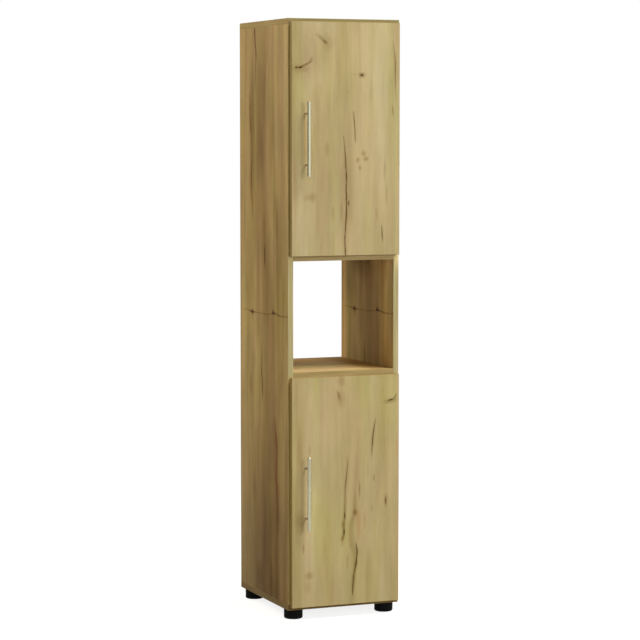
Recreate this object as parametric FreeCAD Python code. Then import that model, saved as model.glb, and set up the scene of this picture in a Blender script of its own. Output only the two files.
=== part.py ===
import FreeCAD, Part
import os

from FreeCAD import Vector as V

# Tall narrow bathroom cabinet: two doored compartments with an open niche
# between them, on four short round feet. Millimetres, +Z up, front is -Y.
# Origin: middle of the bounding box in plan, floor level in height.

# ---- driving dimensions -------------------------------------------------
overall_w = 380.0          # X, outside of the side panels
overall_h = 1900.0         # Z, floor to top panel
foot_h = 32.0              # feet lift the carcass off the floor
carcass_d = 431.0          # Y, carcass without doors
board_t = 18.0             # carcass boards
door_t = 16.0              # door boards
door_gap = 3.0             # between door back and carcass front edge
niche_clear = 350.0        # clear height of the open niche
door_h = 733.0
door_reveal_side = 6.0     # carcass edge left bare beside a door
door_reveal_end = 10.0     # carcass edge left bare above / below a door
edge_r = 0.8               # rounding of the edge banding

handle_len = 234.0
handle_d = 12.0
handle_pitch = 160.0       # post to post
handle_post_d = 6.5
handle_standoff = 32.0     # bar axis to door face
handle_inset = 46.0        # bar axis to the door's left edge

foot_d = 60.0
foot_in_x = 33.0           # foot axis from the side
foot_in_y = 40.0           # foot axis from front and back

back_t = 3.0               # hardboard back
rebate_w = 9.0             # rebate width that takes the back
rail_h = 60.0              # back rail under the top panel
wall_hole_r = 3.25         # hole in the rail for the wall screw

cup_d = 35.0               # hinge cup boring
cup_depth = 11.5
cup_edge = 3.0             # wood left between boring and door edge
pivot_u = 7.2              # pivot axis from the door's right edge
pivot_v = 8.2              # pivot axis in from the door's back face
hinge_end = 95.0           # hinge centre from the door's ends

# ---- derived planes -------------------------------------------------------
depth_all = carcass_d + door_gap + door_t + handle_standoff + handle_d / 2
y_back = depth_all / 2
y_front = y_back - carcass_d             # carcass front plane
y_dback = y_front - door_gap             # door back face
y_dfront = y_dback - door_t              # door front face
x_l, x_r = -overall_w / 2, overall_w / 2
xi_l, xi_r = x_l + board_t, x_r - board_t
z0 = foot_h                              # underside of the bottom panel
z_top = overall_h
z_side0, z_side1 = z0 + board_t, z_top - board_t
z_mid = (z0 + z_top) / 2
z_nf1 = z_mid - niche_clear / 2          # niche floor, upper face
z_nf0 = z_nf1 - board_t
z_nc0 = z_mid + niche_clear / 2          # niche ceiling, lower face
z_nc1 = z_nc0 + board_t
z_rail0 = z_side1 - rail_h               # back rail, lower edge
y_rail0 = y_back - board_t               # back rail, front face
wall_z = z_rail0 + rail_h / 2
dx0, dx1 = x_l + door_reveal_side, x_r - door_reveal_side
zl0, zl1 = z0 + door_reveal_end, z0 + door_reveal_end + door_h
zu1 = z_top - door_reveal_end
zu0 = zu1 - door_h
piv_x, piv_y = dx1 - pivot_u, y_dback - pivot_v
cup_x = dx1 - cup_edge - cup_d / 2
hinge_z = {"upper": (zu0 + hinge_end, zu1 - hinge_end),
           "lower": (zl0 + hinge_end, zl1 - hinge_end)}
handle_x = dx0 + handle_inset
handle_y = y_dfront - handle_standoff
handle_z = {"upper": (zu0 + zu1) / 2, "lower": (zl0 + zl1) / 2}

OUT = {}


# ---- helpers --------------------------------------------------------------
def box(x0, x1, y0, y1, z0_, z1_):
    return Part.makeBox(x1 - x0, y1 - y0, z1_ - z0_, V(x0, y0, z0_))


def cyl(r, h, p, d):
    return Part.makeCylinder(r, h, V(*p), V(*d))


def cone(r1, r2, h, p, d):
    return Part.makeCone(r1, r2, h, V(*p), V(*d))


def fuse(shapes):
    s = shapes[0]
    if len(shapes) > 1:
        s = s.multiFuse(shapes[1:])
    return s.removeSplitter()


def put(name, shapes):
    if not isinstance(shapes, (list, tuple)):
        shapes = [shapes]
    solids = []
    for s in shapes:
        solids.extend(s.Solids)
    OUT[name] = solids


def board(x0, x1, y0, y1, z0_, z1_, r=edge_r):
    """Board with every edge eased by the banding's small radius."""
    b = box(x0, x1, y0, y1, z0_, z1_)
    return b.makeFillet(r, b.Edges)


# ---- fastener positions -----------------------------------------------------
cam_y = (y_front + 60.0, y_back - 60.0)
dowel_y = (y_front + 30.0, y_back - 32.0)
cam_in = 24.0              # cam axis from the joint
cam_r, cam_deep = 7.5, 13.0
bolt_bore = 3.3
dowel_r, dowel_len = 4.0, 35.0

dowels, cams, bolts = [], [], []
cut_left, cut_right, cut_top, cut_bottom, cut_ceil, cut_floor, cut_rail = [], [], [], [], [], [], []


def cam_joint(face_p, d_face, d_edge, cuts_face, cuts_edge, cam_face_d, cam_face_off):
    """One cam joint. The bolt screws into a board's face at face_p and runs
    along d_edge through the other board's end to the cam."""
    p, e = V(*face_p), V(*d_edge)
    # bolt: thread in the face board, neck and round head in the end board
    thread = cyl(2.9, 11.0, tuple(p - e * 11.0), tuple(e))
    collar = cyl(3.2, 3.0, tuple(p), tuple(e))
    neck = cyl(2.0, cam_in - 3.0, tuple(p + e * 3.0), tuple(e))
    head = cyl(3.0, 3.2, tuple(p + e * (cam_in - 1.6)), tuple(e))
    bolts.append(fuse([thread, collar, neck, head]))
    cuts_face.append(cyl(2.9, 11.0, tuple(p - e * 11.0), tuple(e)))
    bore = cyl(bolt_bore, cam_in, tuple(p), tuple(e))
    # cam drum, sunk in the end board's hidden face
    n = V(*cam_face_d)
    c = p + e * cam_in + n * cam_face_off      # on the hidden face
    drum = cyl(cam_r, cam_deep, tuple(c - n * cam_deep), tuple(n))
    cuts_edge.extend([bore, drum])
    hollow = cyl(bolt_bore, cam_in + 3.0, tuple(p), tuple(e))
    m = c
    across = e.cross(n)
    slot = Part.makeBox(9.0, 1.6, 2.2)
    slot.translate(V(-4.5, -0.8, -2.2))
    slot2 = Part.makeBox(1.6, 9.0, 2.2)
    slot2.translate(V(-0.8, -4.5, -2.2))
    cross = slot.fuse(slot2)
    mat = FreeCAD.Matrix(e.x, across.x, n.x, m.x,
                         e.y, across.y, n.y, m.y,
                         e.z, across.z, n.z, m.z,
                         0, 0, 0, 1)
    cross.Placement = FreeCAD.Placement(mat)
    cams.append(drum.cut(hollow).cut(cross))


def dowel_joint(p, d, cuts_a, cuts_b, into_b=20.0):
    """Dowel across a joint at p; d points from board a into board b."""
    p, d = V(*p), V(*d)
    a = p - d * (dowel_len - into_b)
    body = cyl(dowel_r, dowel_len - 2.0, tuple(a + d * 1.0), tuple(d))
    tip1 = cone(dowel_r - 0.8, dowel_r, 1.0, tuple(a), tuple(d))
    tip2 = cone(dowel_r, dowel_r - 0.8, 1.0, tuple(a + d * (dowel_len - 1.0)), tuple(d))
    dowels.append(fuse([body, tip1, tip2]))
    cuts_a.append(cyl(dowel_r, dowel_len - into_b + 0.0, tuple(a), tuple(d)))
    cuts_b.append(cyl(dowel_r, into_b, tuple(p), tuple(d)))


for sgn, cuts_side in ((-1, cut_left), (1, cut_right)):
    xc = sgn * (overall_w / 2 - board_t / 2)
    inner = sgn * (overall_w / 2 - board_t)
    for yy in cam_y:
        # top panel on the side panel, bottom panel under it
        cam_joint((xc, yy, z_side1), (0, 0, 1), (0, 0, -1), cut_top, cuts_side, (-sgn, 0, 0), board_t / 2)
        cam_joint((xc, yy, z_side0), (0, 0, -1), (0, 0, 1), cut_bottom, cuts_side, (-sgn, 0, 0), board_t / 2)
        # niche boards between the side panels
        cam_joint((inner, yy, (z_nc0 + z_nc1) / 2), (sgn, 0, 0), (-sgn, 0, 0), cuts_side, cut_ceil, (0, 0, 1), board_t / 2)
        cam_joint((inner, yy, (z_nf0 + z_nf1) / 2), (sgn, 0, 0), (-sgn, 0, 0), cuts_side, cut_floor, (0, 0, -1), board_t / 2)
    for yy in dowel_y:
        dowel_joint((xc, yy, z_side1), (0, 0, -1), cut_top, cuts_side, 22.0)
        dowel_joint((xc, yy, z_side0), (0, 0, 1), cut_bottom, cuts_side, 22.0)
        dowel_joint((inner, yy, (z_nc0 + z_nc1) / 2), (-sgn, 0, 0), cuts_side, cut_ceil, 23.0)
        dowel_joint((inner, yy, (z_nf0 + z_nf1) / 2), (-sgn, 0, 0), cuts_side, cut_floor, 23.0)
    for zz in (z_rail0 + 16.0, z_side1 - 16.0):
        dowel_joint((inner, (y_rail0 + y_back) / 2, zz), (-sgn, 0, 0), cuts_side, cut_rail, 23.0)

put("wooden_dowels", dowels)
put("cam_lock_housings", cams)
put("cam_bolts", bolts)

# ---- shelves and their pins --------------------------------------------------
shelf_y0, shelf_y1 = y_front + 22.0, y_back - back_t - 2.0
shelf_play = 1.0
pin_r, pin_in, pin_out, pin_drop = 2.5, 9.0, 8.0, 3.2
shelf_levels = {
    "upper_shelf_low": z_nc1 + 228.0, "upper_shelf_high": z_nc1 + 474.0,
    "lower_shelf_low": z_side0 + 228.0, "lower_shelf_high": z_side0 + 474.0,
}
pin_y = (y_front + 62.0, y_back - 62.0)
pins = []
for name, zz in shelf_levels.items():
    put(name, board(xi_l + shelf_play, xi_r - shelf_play, shelf_y0, shelf_y1, zz, zz + board_t))
    for sgn, cuts_side in ((-1, cut_left), (1, cut_right)):
        inner = sgn * (overall_w / 2 - board_t)
        for yy in pin_y:
            zc = zz - pin_drop
            peg = cyl(pin_r, pin_in + 1.0, (inner + sgn * pin_in, yy, zc), (-sgn, 0, 0))
            xa, xb = sorted((inner, inner - sgn * pin_out))
            rest = box(xa, xb, yy - 3.6, yy + 3.6, zz - 6.4, zz)
            rest = rest.makeFillet(1.0, [e for e in rest.Edges if abs(e.CenterOfMass.x - (inner - sgn * pin_out)) < 0.01
                                         and e.CenterOfMass.z < zz - 1])
            pins.append(fuse([peg, rest]))
            cuts_side.append(cyl(pin_r, pin_in, (inner + sgn * pin_in, yy, zc), (-sgn, 0, 0)))
        # spare rows of holes for the other heights
        for dz in (-96.0, -64.0, -32.0, 32.0, 64.0, 96.0):
            for yy in pin_y:
                cuts_side.append(cyl(pin_r, pin_in, (inner + sgn * pin_in, yy, zz - pin_drop + dz), (-sgn, 0, 0)))
put("shelf_pins", pins)

# ---- hinges --------------------------------------------------------------------
hw = 5.5                     # half width of the arm's nose
pin_rad, eye_r, eye_bore = 1.2, 2.1, 1.26
px, py = piv_x, piv_y
plate_y = y_front + 37.0     # mounting screws' line
rail_x = px - 16.6           # top of the plate's rail, under the arm's web


def hinge_plate(zc):
    base = box(xi_r - 1.6, xi_r, plate_y - 9.0, plate_y + 9.0, zc - 23.0, zc + 23.0)
    base = base.makeFillet(4.0, [e for e in base.Edges if abs(e.Vertexes[0].Point.x - e.Vertexes[1].Point.x) > 1.0])
    rail = box(rail_x, xi_r - 1.6, plate_y - 16.0, plate_y + 20.0, zc - 5.8, zc + 5.8)
    rail = rail.makeFillet(1.2, [e for e in rail.Edges if abs(e.Vertexes[0].Point.y - e.Vertexes[1].Point.y) > 1.0
                                 and e.Vertexes[0].Point.x < xi_r - 5])
    foot = box(xi_r - 1.6, xi_r, plate_y - 16.0, plate_y + 20.0, zc - 5.8, zc + 5.8)
    s = fuse([base, foot, rail])
    for dz in (-16.0, 16.0):
        s = s.cut(cyl(3.0, 4.0, (xi_r - 3.0, plate_y, zc + dz), (1, 0, 0)))
    for dy in (-8.0, 12.0):
        s = s.cut(cyl(1.6, 24.0, (rail_x - 4.0, plate_y + dy, zc), (1, 0, 0)))
    return s


def plate_screws(zc):
    out = []
    for dz in (-16.0, 16.0):
        p = (xi_r, plate_y, zc + dz)
        shank = cyl(3.0, 13.0, (xi_r - 1.6, plate_y, zc + dz), (1, 0, 0))
        head = cyl(4.2, 1.6, (xi_r - 3.2, plate_y, zc + dz), (1, 0, 0))
        s = fuse([shank, head])
        slot = box(xi_r - 3.2, xi_r - 2.2, plate_y - 2.4, plate_y + 2.4, zc + dz - 0.5, zc + dz + 0.5)
        slot = slot.fuse(box(xi_r - 3.2, xi_r - 2.2, plate_y - 0.5, plate_y + 0.5, zc + dz - 2.4, zc + dz + 2.4))
        out.append(s.cut(slot))
        cut_right.append(cyl(3.0, 11.4, p, (1, 0, 0)))
    return out


def hinge_arm(zc):
    """Bent steel arm: eye round the pivot pin, nose out of the cup, channel
    over the mounting plate's rail."""
    t = 2.4
    x_leg = px - 15.6                      # right side of the leg that leaves the cup
    y_lo, y_hi = py - 2.1, py + 0.3
    leg1 = box(x_leg - t, px, y_lo, y_hi, zc - hw, zc + hw)
    eye = cyl(eye_r, 2 * hw, (px, py, zc - hw), (0, 0, 1))
    leg2 = box(x_leg - t, x_leg, y_lo, y_front + 10.0, zc - hw, zc + hw)
    nose = fuse([leg1, eye, leg2])
    # round the outer bend
    corner = [e for e in nose.Edges if len(e.Vertexes) == 2
              and abs(e.Vertexes[0].Point.x - (x_leg - t)) < 1e-4 and abs(e.Vertexes[1].Point.x - (x_leg - t)) < 1e-4
              and abs(e.Vertexes[0].Point.y - y_lo) < 1e-4 and abs(e.Vertexes[1].Point.y - y_lo) < 1e-4]
    if corner:
        nose = nose.makeFillet(2.2, corner)
    web = box(x_leg - t, x_leg - t + 1.4, y_front + 4.0, plate_y + 24.0, zc - 7.6, zc + 7.6)
    f1 = box(x_leg - t, xi_r - 3.4, y_front + 12.0, plate_y + 24.0, zc + 6.2, zc + 7.6)
    f2 = box(x_leg - t, xi_r - 3.4, y_front + 12.0, plate_y + 24.0, zc - 7.6, zc - 6.2)
    s = fuse([nose, web, f1, f2])
    s = s.cut(cyl(eye_bore, 2 * hw + 2, (px, py, zc - hw - 1), (0, 0, 1)))
    # slot for the fixing screw, hole for the side-adjusting screw
    xs = x_leg - t - 1.0
    slot = fuse([cyl(2.3, 4.0, (xs, plate_y + 9.0, zc), (1, 0, 0)),
                 cyl(2.3, 4.0, (xs, plate_y + 15.0, zc), (1, 0, 0)),
                 box(xs, xs + 4.0, plate_y + 9.0, plate_y + 15.0, zc - 2.3, zc + 2.3)])
    s = s.cut(slot)
    s = s.cut(cyl(2.0, 4.0, (xs, plate_y - 8.0, zc), (1, 0, 0)))
    return s


def arm_screws(zc):
    x_leg = px - 15.6
    xw = x_leg - 2.4                       # outer face of the web
    xr = rail_x
    out = []
    # fixing screw: head on the web, shank into the rail
    head = cyl(4.2, 2.0, (xw - 2.0, plate_y + 12.0, zc), (1, 0, 0))
    shank = cyl(1.6, xr + 6.0 - xw, (xw, plate_y + 12.0, zc), (1, 0, 0))
    s = fuse([head, shank])
    cr = box(xw - 2.0, xw - 0.9, plate_y + 12.0 - 2.4, plate_y + 12.0 + 2.4, zc - 0.5, zc + 0.5)
    cr = cr.fuse(box(xw - 2.0, xw - 0.9, plate_y + 12.0 - 0.5, plate_y + 12.0 + 0.5, zc - 2.4, zc + 2.4))
    out.append(s.cut(cr))
    # side-adjusting screw: sits in the web, tip in the rail
    s = fuse([cyl(2.0, 1.4, (xw, plate_y - 8.0, zc), (1, 0, 0)),
              cyl(1.6, xr + 4.0 - xw - 1.4, (xw + 1.4, plate_y - 8.0, zc), (1, 0, 0))])
    out.append(s.cut(box(xw, xw + 0.8, plate_y - 8.0 - 1.6, plate_y - 8.0 + 1.6, zc - 0.4, zc + 0.4)))
    return out


cup_ro, cup_ri = cup_d / 2 - 0.03, cup_d / 2 - 0.65
fl_t = 1.4                                  # flange thickness on the door's back
fl_x0 = cup_x - 17.0


def hinge_cup(zc):
    drum = cyl(cup_ro, cup_depth - 0.1, (cup_x, y_dback - cup_depth + 0.1, zc), (0, 1, 0))
    wing = box(fl_x0, fl_x0 + 15.0, y_dback, y_dback + fl_t, zc - 30.0, zc + 30.0)
    wing = wing.makeFillet(5.0, [e for e in wing.Edges if abs(e.Vertexes[0].Point.y - e.Vertexes[1].Point.y) > 1.0])
    rim = cyl(cup_ro + 0.6, fl_t, (cup_x, y_dback, zc), (0, 1, 0))
    s = fuse([drum, rim, wing])
    cav = cyl(cup_ri, cup_depth + 6.0, (cup_x, y_dback - cup_depth + 0.7, zc), (0, 1, 0))
    s = s.cut(cav)
    s = s.cut(cyl(pin_rad, 30.0, (px, py, zc - 15.0), (0, 0, 1)).common(
        cyl(cup_ro, cup_depth - 0.1, (cup_x, y_dback - cup_depth + 0.1, zc), (0, 1, 0))))
    for dz in (-22.5, 22.5):
        s = s.cut(cone(3.5, 2.1, fl_t, (cup_x - 9.5, y_dback + fl_t, zc + dz), (0, -1, 0)))
    return s


def cup_screws(zc):
    out = []
    for dz in (-22.5, 22.5):
        p = (cup_x - 9.5, y_dback + fl_t, zc + dz)
        head = cone(3.5, 2.1, fl_t, p, (0, -1, 0))
        shank = cyl(1.75, 10.5, (p[0], y_dback, p[2]), (0, -1, 0))
        tip = cone(1.75, 0.4, 2.0, (p[0], y_dback - 10.5, p[2]), (0, -1, 0))
        s = fuse([head, shank, tip])
        cr = box(p[0] - 1.9, p[0] + 1.9, p[1] - 1.0, p[1], p[2] - 0.4, p[2] + 0.4)
        cr = cr.fuse(box(p[0] - 0.4, p[0] + 0.4, p[1] - 1.0, p[1], p[2] - 1.9, p[2] + 1.9))
        out.append(s.cut(cr))
    return out


def pivot_pin(zc):
    return cyl(pin_rad, 30.0, (px, py, zc - 15.0), (0, 0, 1)).common(
        cyl(cup_ro, cup_depth + 4.0, (cup_x, y_dback - cup_depth, zc), (0, 1, 0)))


# ---- doors with their fittings ----------------------------------------------------
for which, (za, zb) in (("upper", (zu0, zu1)), ("lower", (zl0, zl1))):
    panel = board(dx0, dx1, y_dfront, y_dback, za, zb)
    cuts = []
    for zc in hinge_z[which]:
        cuts.append(cyl(cup_d / 2, cup_depth, (cup_x, y_dback - cup_depth, zc), (0, 1, 0)))
        for dz in (-22.5, 22.5):
            p = (cup_x - 9.5, y_dback, zc + dz)
            cuts.append(cyl(1.75, 10.5, p, (0, -1, 0)))
            cuts.append(cone(1.75, 0.4, 2.0, (p[0], y_dback - 10.5, p[2]), (0, -1, 0)))
    hz = handle_z[which]
    post_z = (hz - handle_pitch / 2, hz + handle_pitch / 2)
    for zz in post_z:
        cuts.append(cyl(2.1, door_t + 2, (handle_x, y_dfront - 1, zz), (0, 1, 0)))
    panel = panel.cut(Part.makeCompound(cuts))
    put(which + "_door_panel", panel)

    # handle bar: round rod, chamfered ends, blind seats for the posts
    bar = cyl(handle_d / 2, handle_len, (handle_x, handle_y, hz - handle_len / 2), (0, 0, 1))
    bar = bar.makeChamfer(0.9, [e for e in bar.Edges if isinstance(e.Curve, Part.Circle)])
    seat = 3.0
    for zz in post_z:
        bar = bar.cut(cyl(handle_post_d / 2, handle_d, (handle_x, handle_y + handle_d / 2 - seat, zz), (0, 1, 0)))
    put(which + "_handle_bar", bar)
    posts, hscrews = [], []
    for zz in post_z:
        y_a = handle_y + handle_d / 2 - seat
        post = cyl(handle_post_d / 2, y_dfront - y_a, (handle_x, y_a, zz), (0, 1, 0))
        post = post.cut(cyl(2.0, 12.0, (handle_x, y_dfront - 12.0, zz), (0, 1, 0)))
        posts.append(post)
        sh = cyl(2.0, 10.0 + door_t, (handle_x, y_dfront - 10.0, zz), (0, 1, 0))
        hd = cyl(4.2, 2.3, (handle_x, y_dback, zz), (0, 1, 0))
        hd = hd.makeFillet(0.9, [e for e in hd.Edges if isinstance(e.Curve, Part.Circle) and e.Vertexes[0].Point.y > y_dback + 1])
        s = fuse([sh, hd])
        cr = box(handle_x - 2.3, handle_x + 2.3, y_dback + 1.2, y_dback + 3, zz - 0.5, zz + 0.5)
        cr = cr.fuse(box(handle_x - 0.5, handle_x + 0.5, y_dback + 1.2, y_dback + 3, zz - 2.3, zz + 2.3))
        hscrews.append(s.cut(cr))
    put(which + "_handle_posts", posts)
    put(which + "_handle_screws", hscrews)
    put(which + "_hinge_cups", [hinge_cup(z) for z in hinge_z[which]])
    put(which + "_hinge_pivot_pins", [pivot_pin(z) for z in hinge_z[which]])
    put(which + "_hinge_cup_screws", sum([cup_screws(z) for z in hinge_z[which]], []))
    put(which + "_hinge_arms", [hinge_arm(z) for z in hinge_z[which]])
    put(which + "_hinge_arm_screws", sum([arm_screws(z) for z in hinge_z[which]], []))
    put(which + "_hinge_plates", [hinge_plate(z) for z in hinge_z[which]])
    put(which + "_hinge_plate_screws", sum([plate_screws(z) for z in hinge_z[which]], []))

# ---- bumpers on the left side panel's front edge -----------------------------------
bumpers = []
for zz in (zl0 + 14.0, zl1 - 14.0, zu0 + 14.0, zu1 - 14.0):
    b = cyl(4.0, 2.7, (x_l + board_t / 2 + 1.5, y_front - 2.7, zz), (0, 1, 0))
    bumpers.append(b.makeFillet(1.0, [e for e in b.Edges if isinstance(e.Curve, Part.Circle)
                                      and e.Vertexes[0].Point.y < y_front - 1]))
put("door_bumpers", bumpers)

# ---- back panels and nails ---------------------------------------------------------------
play = 0.5
bx0, bx1 = xi_l - rebate_w + play, xi_r + rebate_w - play
yb0 = y_back - back_t
ub0, ub1 = z_nc0 + rebate_w + play, z_rail0 + rebate_w - play
lb0, lb1 = z_side0 - rebate_w + play, z_nf1 - rebate_w - play
nails, nail_cut_back, nail_cut_wood = {"upper": [], "lower": []}, {"upper": [], "lower": []}, []
for key, (b0, b1) in (("upper", (ub0, ub1)), ("lower", (lb0, lb1))):
    pts = []
    zn = [b0 + 40 + i * (b1 - b0 - 80) / 5.0 for i in range(6)]
    for zz in zn:
        pts += [(xi_l - 4.5, zz), (xi_r + 4.5, zz)]
    for xx in (-110.0, 0.0, 110.0):
        pts += [(xx, b0 + 4.0), (xx, b1 - 4.0)]
    for xx, zz in pts:
        head = cyl(1.6, 0.8, (xx, y_back - 0.8, zz), (0, 1, 0))
        shank = cyl(0.7, 16.0, (xx, y_back - 16.8, zz), (0, 1, 0))
        nails[key].append(fuse([head, shank]))
        nail_cut_back[key] += [head, shank]
        nail_cut_wood.append(shank)
    panel = box(bx0, bx1, yb0, y_back, b0, b1)
    put(key + "_back_panel", panel.cut(Part.makeCompound(nail_cut_back[key])))
put("back_panel_nails", nails["upper"] + nails["lower"])

# rebates
reb = 20.0
for s_cut, xa, xb in ((cut_left, xi_l - rebate_w, xi_l + 5), (cut_right, xi_r - 5, xi_r + rebate_w)):
    s_cut.append(box(xa, xb, yb0, y_back + reb, z_nc0 + rebate_w, z_rail0 + rebate_w))
    s_cut.append(box(xa, xb, yb0, y_back + reb, z_side0 - 5, z_nf1 - rebate_w))
cut_rail.append(box(xi_l - 5, xi_r + 5, yb0, y_back + reb, z_rail0 - 5, z_rail0 + rebate_w))
cut_rail.append(cyl(wall_hole_r, board_t + 2, (0, y_rail0 - 1, wall_z), (0, 1, 0)))
cut_bottom.append(box(xi_l - rebate_w, xi_r + rebate_w, yb0, y_back + reb, z_side0 - rebate_w, z_side0 + 5))
cut_ceil.append(box(xi_l - 5, xi_r + 5, yb0, y_back + reb, z_nc0 + rebate_w, z_nc1 + 5))
cut_floor.append(box(xi_l - 5, xi_r + 5, yb0, y_back + reb, z_nf0 - 5, z_nf1 - rebate_w))

# ---- feet -----------------------------------------------------------------------------------
fr = foot_d / 2
foot_xy = {"foot_front_left": (x_l + foot_in_x, y_front + foot_in_y),
           "foot_front_right": (x_r - foot_in_x, y_front + foot_in_y),
           "foot_back_left": (x_l + foot_in_x, y_back - foot_in_y),
           "foot_back_right": (x_r - foot_in_x, y_back - foot_in_y)}
fscrews = []
for name, (fx, fy) in foot_xy.items():
    f = cyl(fr, foot_h, (fx, fy, 0), (0, 0, 1))
    low = [e for e in f.Edges if isinstance(e.Curve, Part.Circle) and e.Vertexes[0].Point.z < 1]
    f = f.makeFillet(5.0, low)
    high = [e for e in f.Edges if isinstance(e.Curve, Part.Circle) and e.Vertexes[0].Point.z > foot_h - 0.5]
    f = f.makeFillet(0.8, high)
    f = f.cut(cyl(7.0, 16.0, (fx, fy, -1.0), (0, 0, 1)))
    f = f.cut(cyl(2.6, foot_h + 2, (fx, fy, -1.0), (0, 0, 1)))
    put(name, f)
    hd = cyl(5.5, 3.0, (fx, fy, 12.0), (0, 0, 1))
    hd = hd.makeFillet(1.0, [e for e in hd.Edges if isinstance(e.Curve, Part.Circle) and e.Vertexes[0].Point.z < 13])
    sh = cyl(2.4, foot_h - 15.0 + 14.0, (fx, fy, 15.0), (0, 0, 1))
    s = fuse([hd, sh])
    cr = box(fx - 2.8, fx + 2.8, fy - 0.6, fy + 0.6, 11.0, 13.4).fuse(box(fx - 0.6, fx + 0.6, fy - 2.8, fy + 2.8, 11.0, 13.4))
    fscrews.append(s.cut(cr))
    cut_bottom.append(cyl(2.4, 14.0, (fx, fy, z0), (0, 0, 1)))
put("foot_screws", fscrews)

# ---- carcass boards ------------------------------------------------------------------------------
wood_nails = Part.makeCompound(nail_cut_wood)


def finish(b, cuts):
    return b.cut(Part.makeCompound(cuts)).cut(wood_nails)


put("side_panel_left", finish(board(x_l, xi_l, y_front, y_back, z_side0, z_side1), cut_left))
put("side_panel_right", finish(board(xi_r, x_r, y_front, y_back, z_side0, z_side1), cut_right))
put("top_panel", finish(board(x_l, x_r, y_front, y_back, z_side1, z_top), cut_top))
put("bottom_panel", finish(board(x_l, x_r, y_front, y_back, z0, z_side0), cut_bottom))
put("niche_ceiling_panel", finish(board(xi_l, xi_r, y_front, y_back, z_nc0, z_nc1), cut_ceil))
put("niche_floor_panel", finish(board(xi_l, xi_r, y_front, y_back, z_nf0, z_nf1), cut_floor))
put("back_rail", finish(board(xi_l, xi_r, y_rail0, y_back, z_rail0, z_side1), cut_rail))

# ---- write -----------------------------------------------------------------------------------------
os.makedirs("parts", exist_ok=True)
for name, solids in OUT.items():
    bad = [s for s in solids if not s.isValid() or s.Volume <= 0]
    shape = solids[0] if len(solids) == 1 else Part.makeCompound(solids)
    shape.exportStep("parts/" + name + ".step")
    bb = shape.BoundBox
    print("%-28s n=%-3d %s vol=%.1f cm3  x %.1f..%.1f y %.1f..%.1f z %.1f..%.1f" % (
        name, len(solids), "BAD" if bad else "ok", shape.Volume / 1000.0,
        bb.XMin, bb.XMax, bb.YMin, bb.YMax, bb.ZMin, bb.ZMax))
print("pivot", piv_x, piv_y, "cup_x", cup_x, "hinge z", hinge_z)
print("y planes", y_dfront, y_dback, y_front, y_back, "handle", handle_x, handle_y, handle_z)
print("z planes", z0, z_side0, z_nf0, z_nf1, z_nc0, z_nc1, z_side1, z_top, "doors", zl0, zl1, zu0, zu1)
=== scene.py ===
import math

import bpy
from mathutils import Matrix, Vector


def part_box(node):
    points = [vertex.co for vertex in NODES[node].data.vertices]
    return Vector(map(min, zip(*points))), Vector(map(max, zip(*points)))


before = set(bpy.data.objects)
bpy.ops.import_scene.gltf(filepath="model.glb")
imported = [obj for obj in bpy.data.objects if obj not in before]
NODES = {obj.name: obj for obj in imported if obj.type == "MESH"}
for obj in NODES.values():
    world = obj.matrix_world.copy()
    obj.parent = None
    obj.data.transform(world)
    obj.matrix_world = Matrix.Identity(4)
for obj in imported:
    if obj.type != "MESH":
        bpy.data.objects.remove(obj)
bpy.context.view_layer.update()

# Tall bathroom cabinet in rustic oak decor. The boards keep their modelled
# shapes; this script gives them their wood, edge banding and chipboard core,
# and the fittings their metal, plastic and rubber.

# ---- planes of the cabinet, metres -------------------------------------------
FACE_SKIN = 0.0012     # depth that still shows the printed face
BAND = 0.0009          # depth that still shows the edge banding

# ---- tints, multiplied over the wood ------------------------------------------
CRACK = (0.23, 0.16, 0.075)
# the next two tints are painted light, laid on the niche's inner wall and floor
LIT = (1.5, 1.36, 1.20)
BRIGHT = (1.85, 1.72, 1.62)
KNOT = (0.18, 0.12, 0.07)
STAIN = (0.36, 0.25, 0.14)
BROWN = (0.46, 0.34, 0.20)
SOFT = (0.55, 0.42, 0.28)
ORANGE = (0.92, 0.66, 0.50)
PALE = (1.14, 1.14, 1.14)
GREEN = (0.96, 1.02, 0.86)
PINK = (1.035, 0.985, 1.03)
YELLOW = (1.01, 1.00, 0.84)
DIM = (0.84, 0.80, 0.72)
CLEAR = (1.24, 1.26, 1.50)
# the next two tints darken the sides as painted shade; the second is partly the print's own dark figure too
LOW_SHADE = (0.56, 0.42, 0.20)
SHADE = (0.56, 0.48, 0.38)
RED = (0.66, 0.43, 0.27)
DARKBAND = (0.42, 0.30, 0.15)

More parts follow.
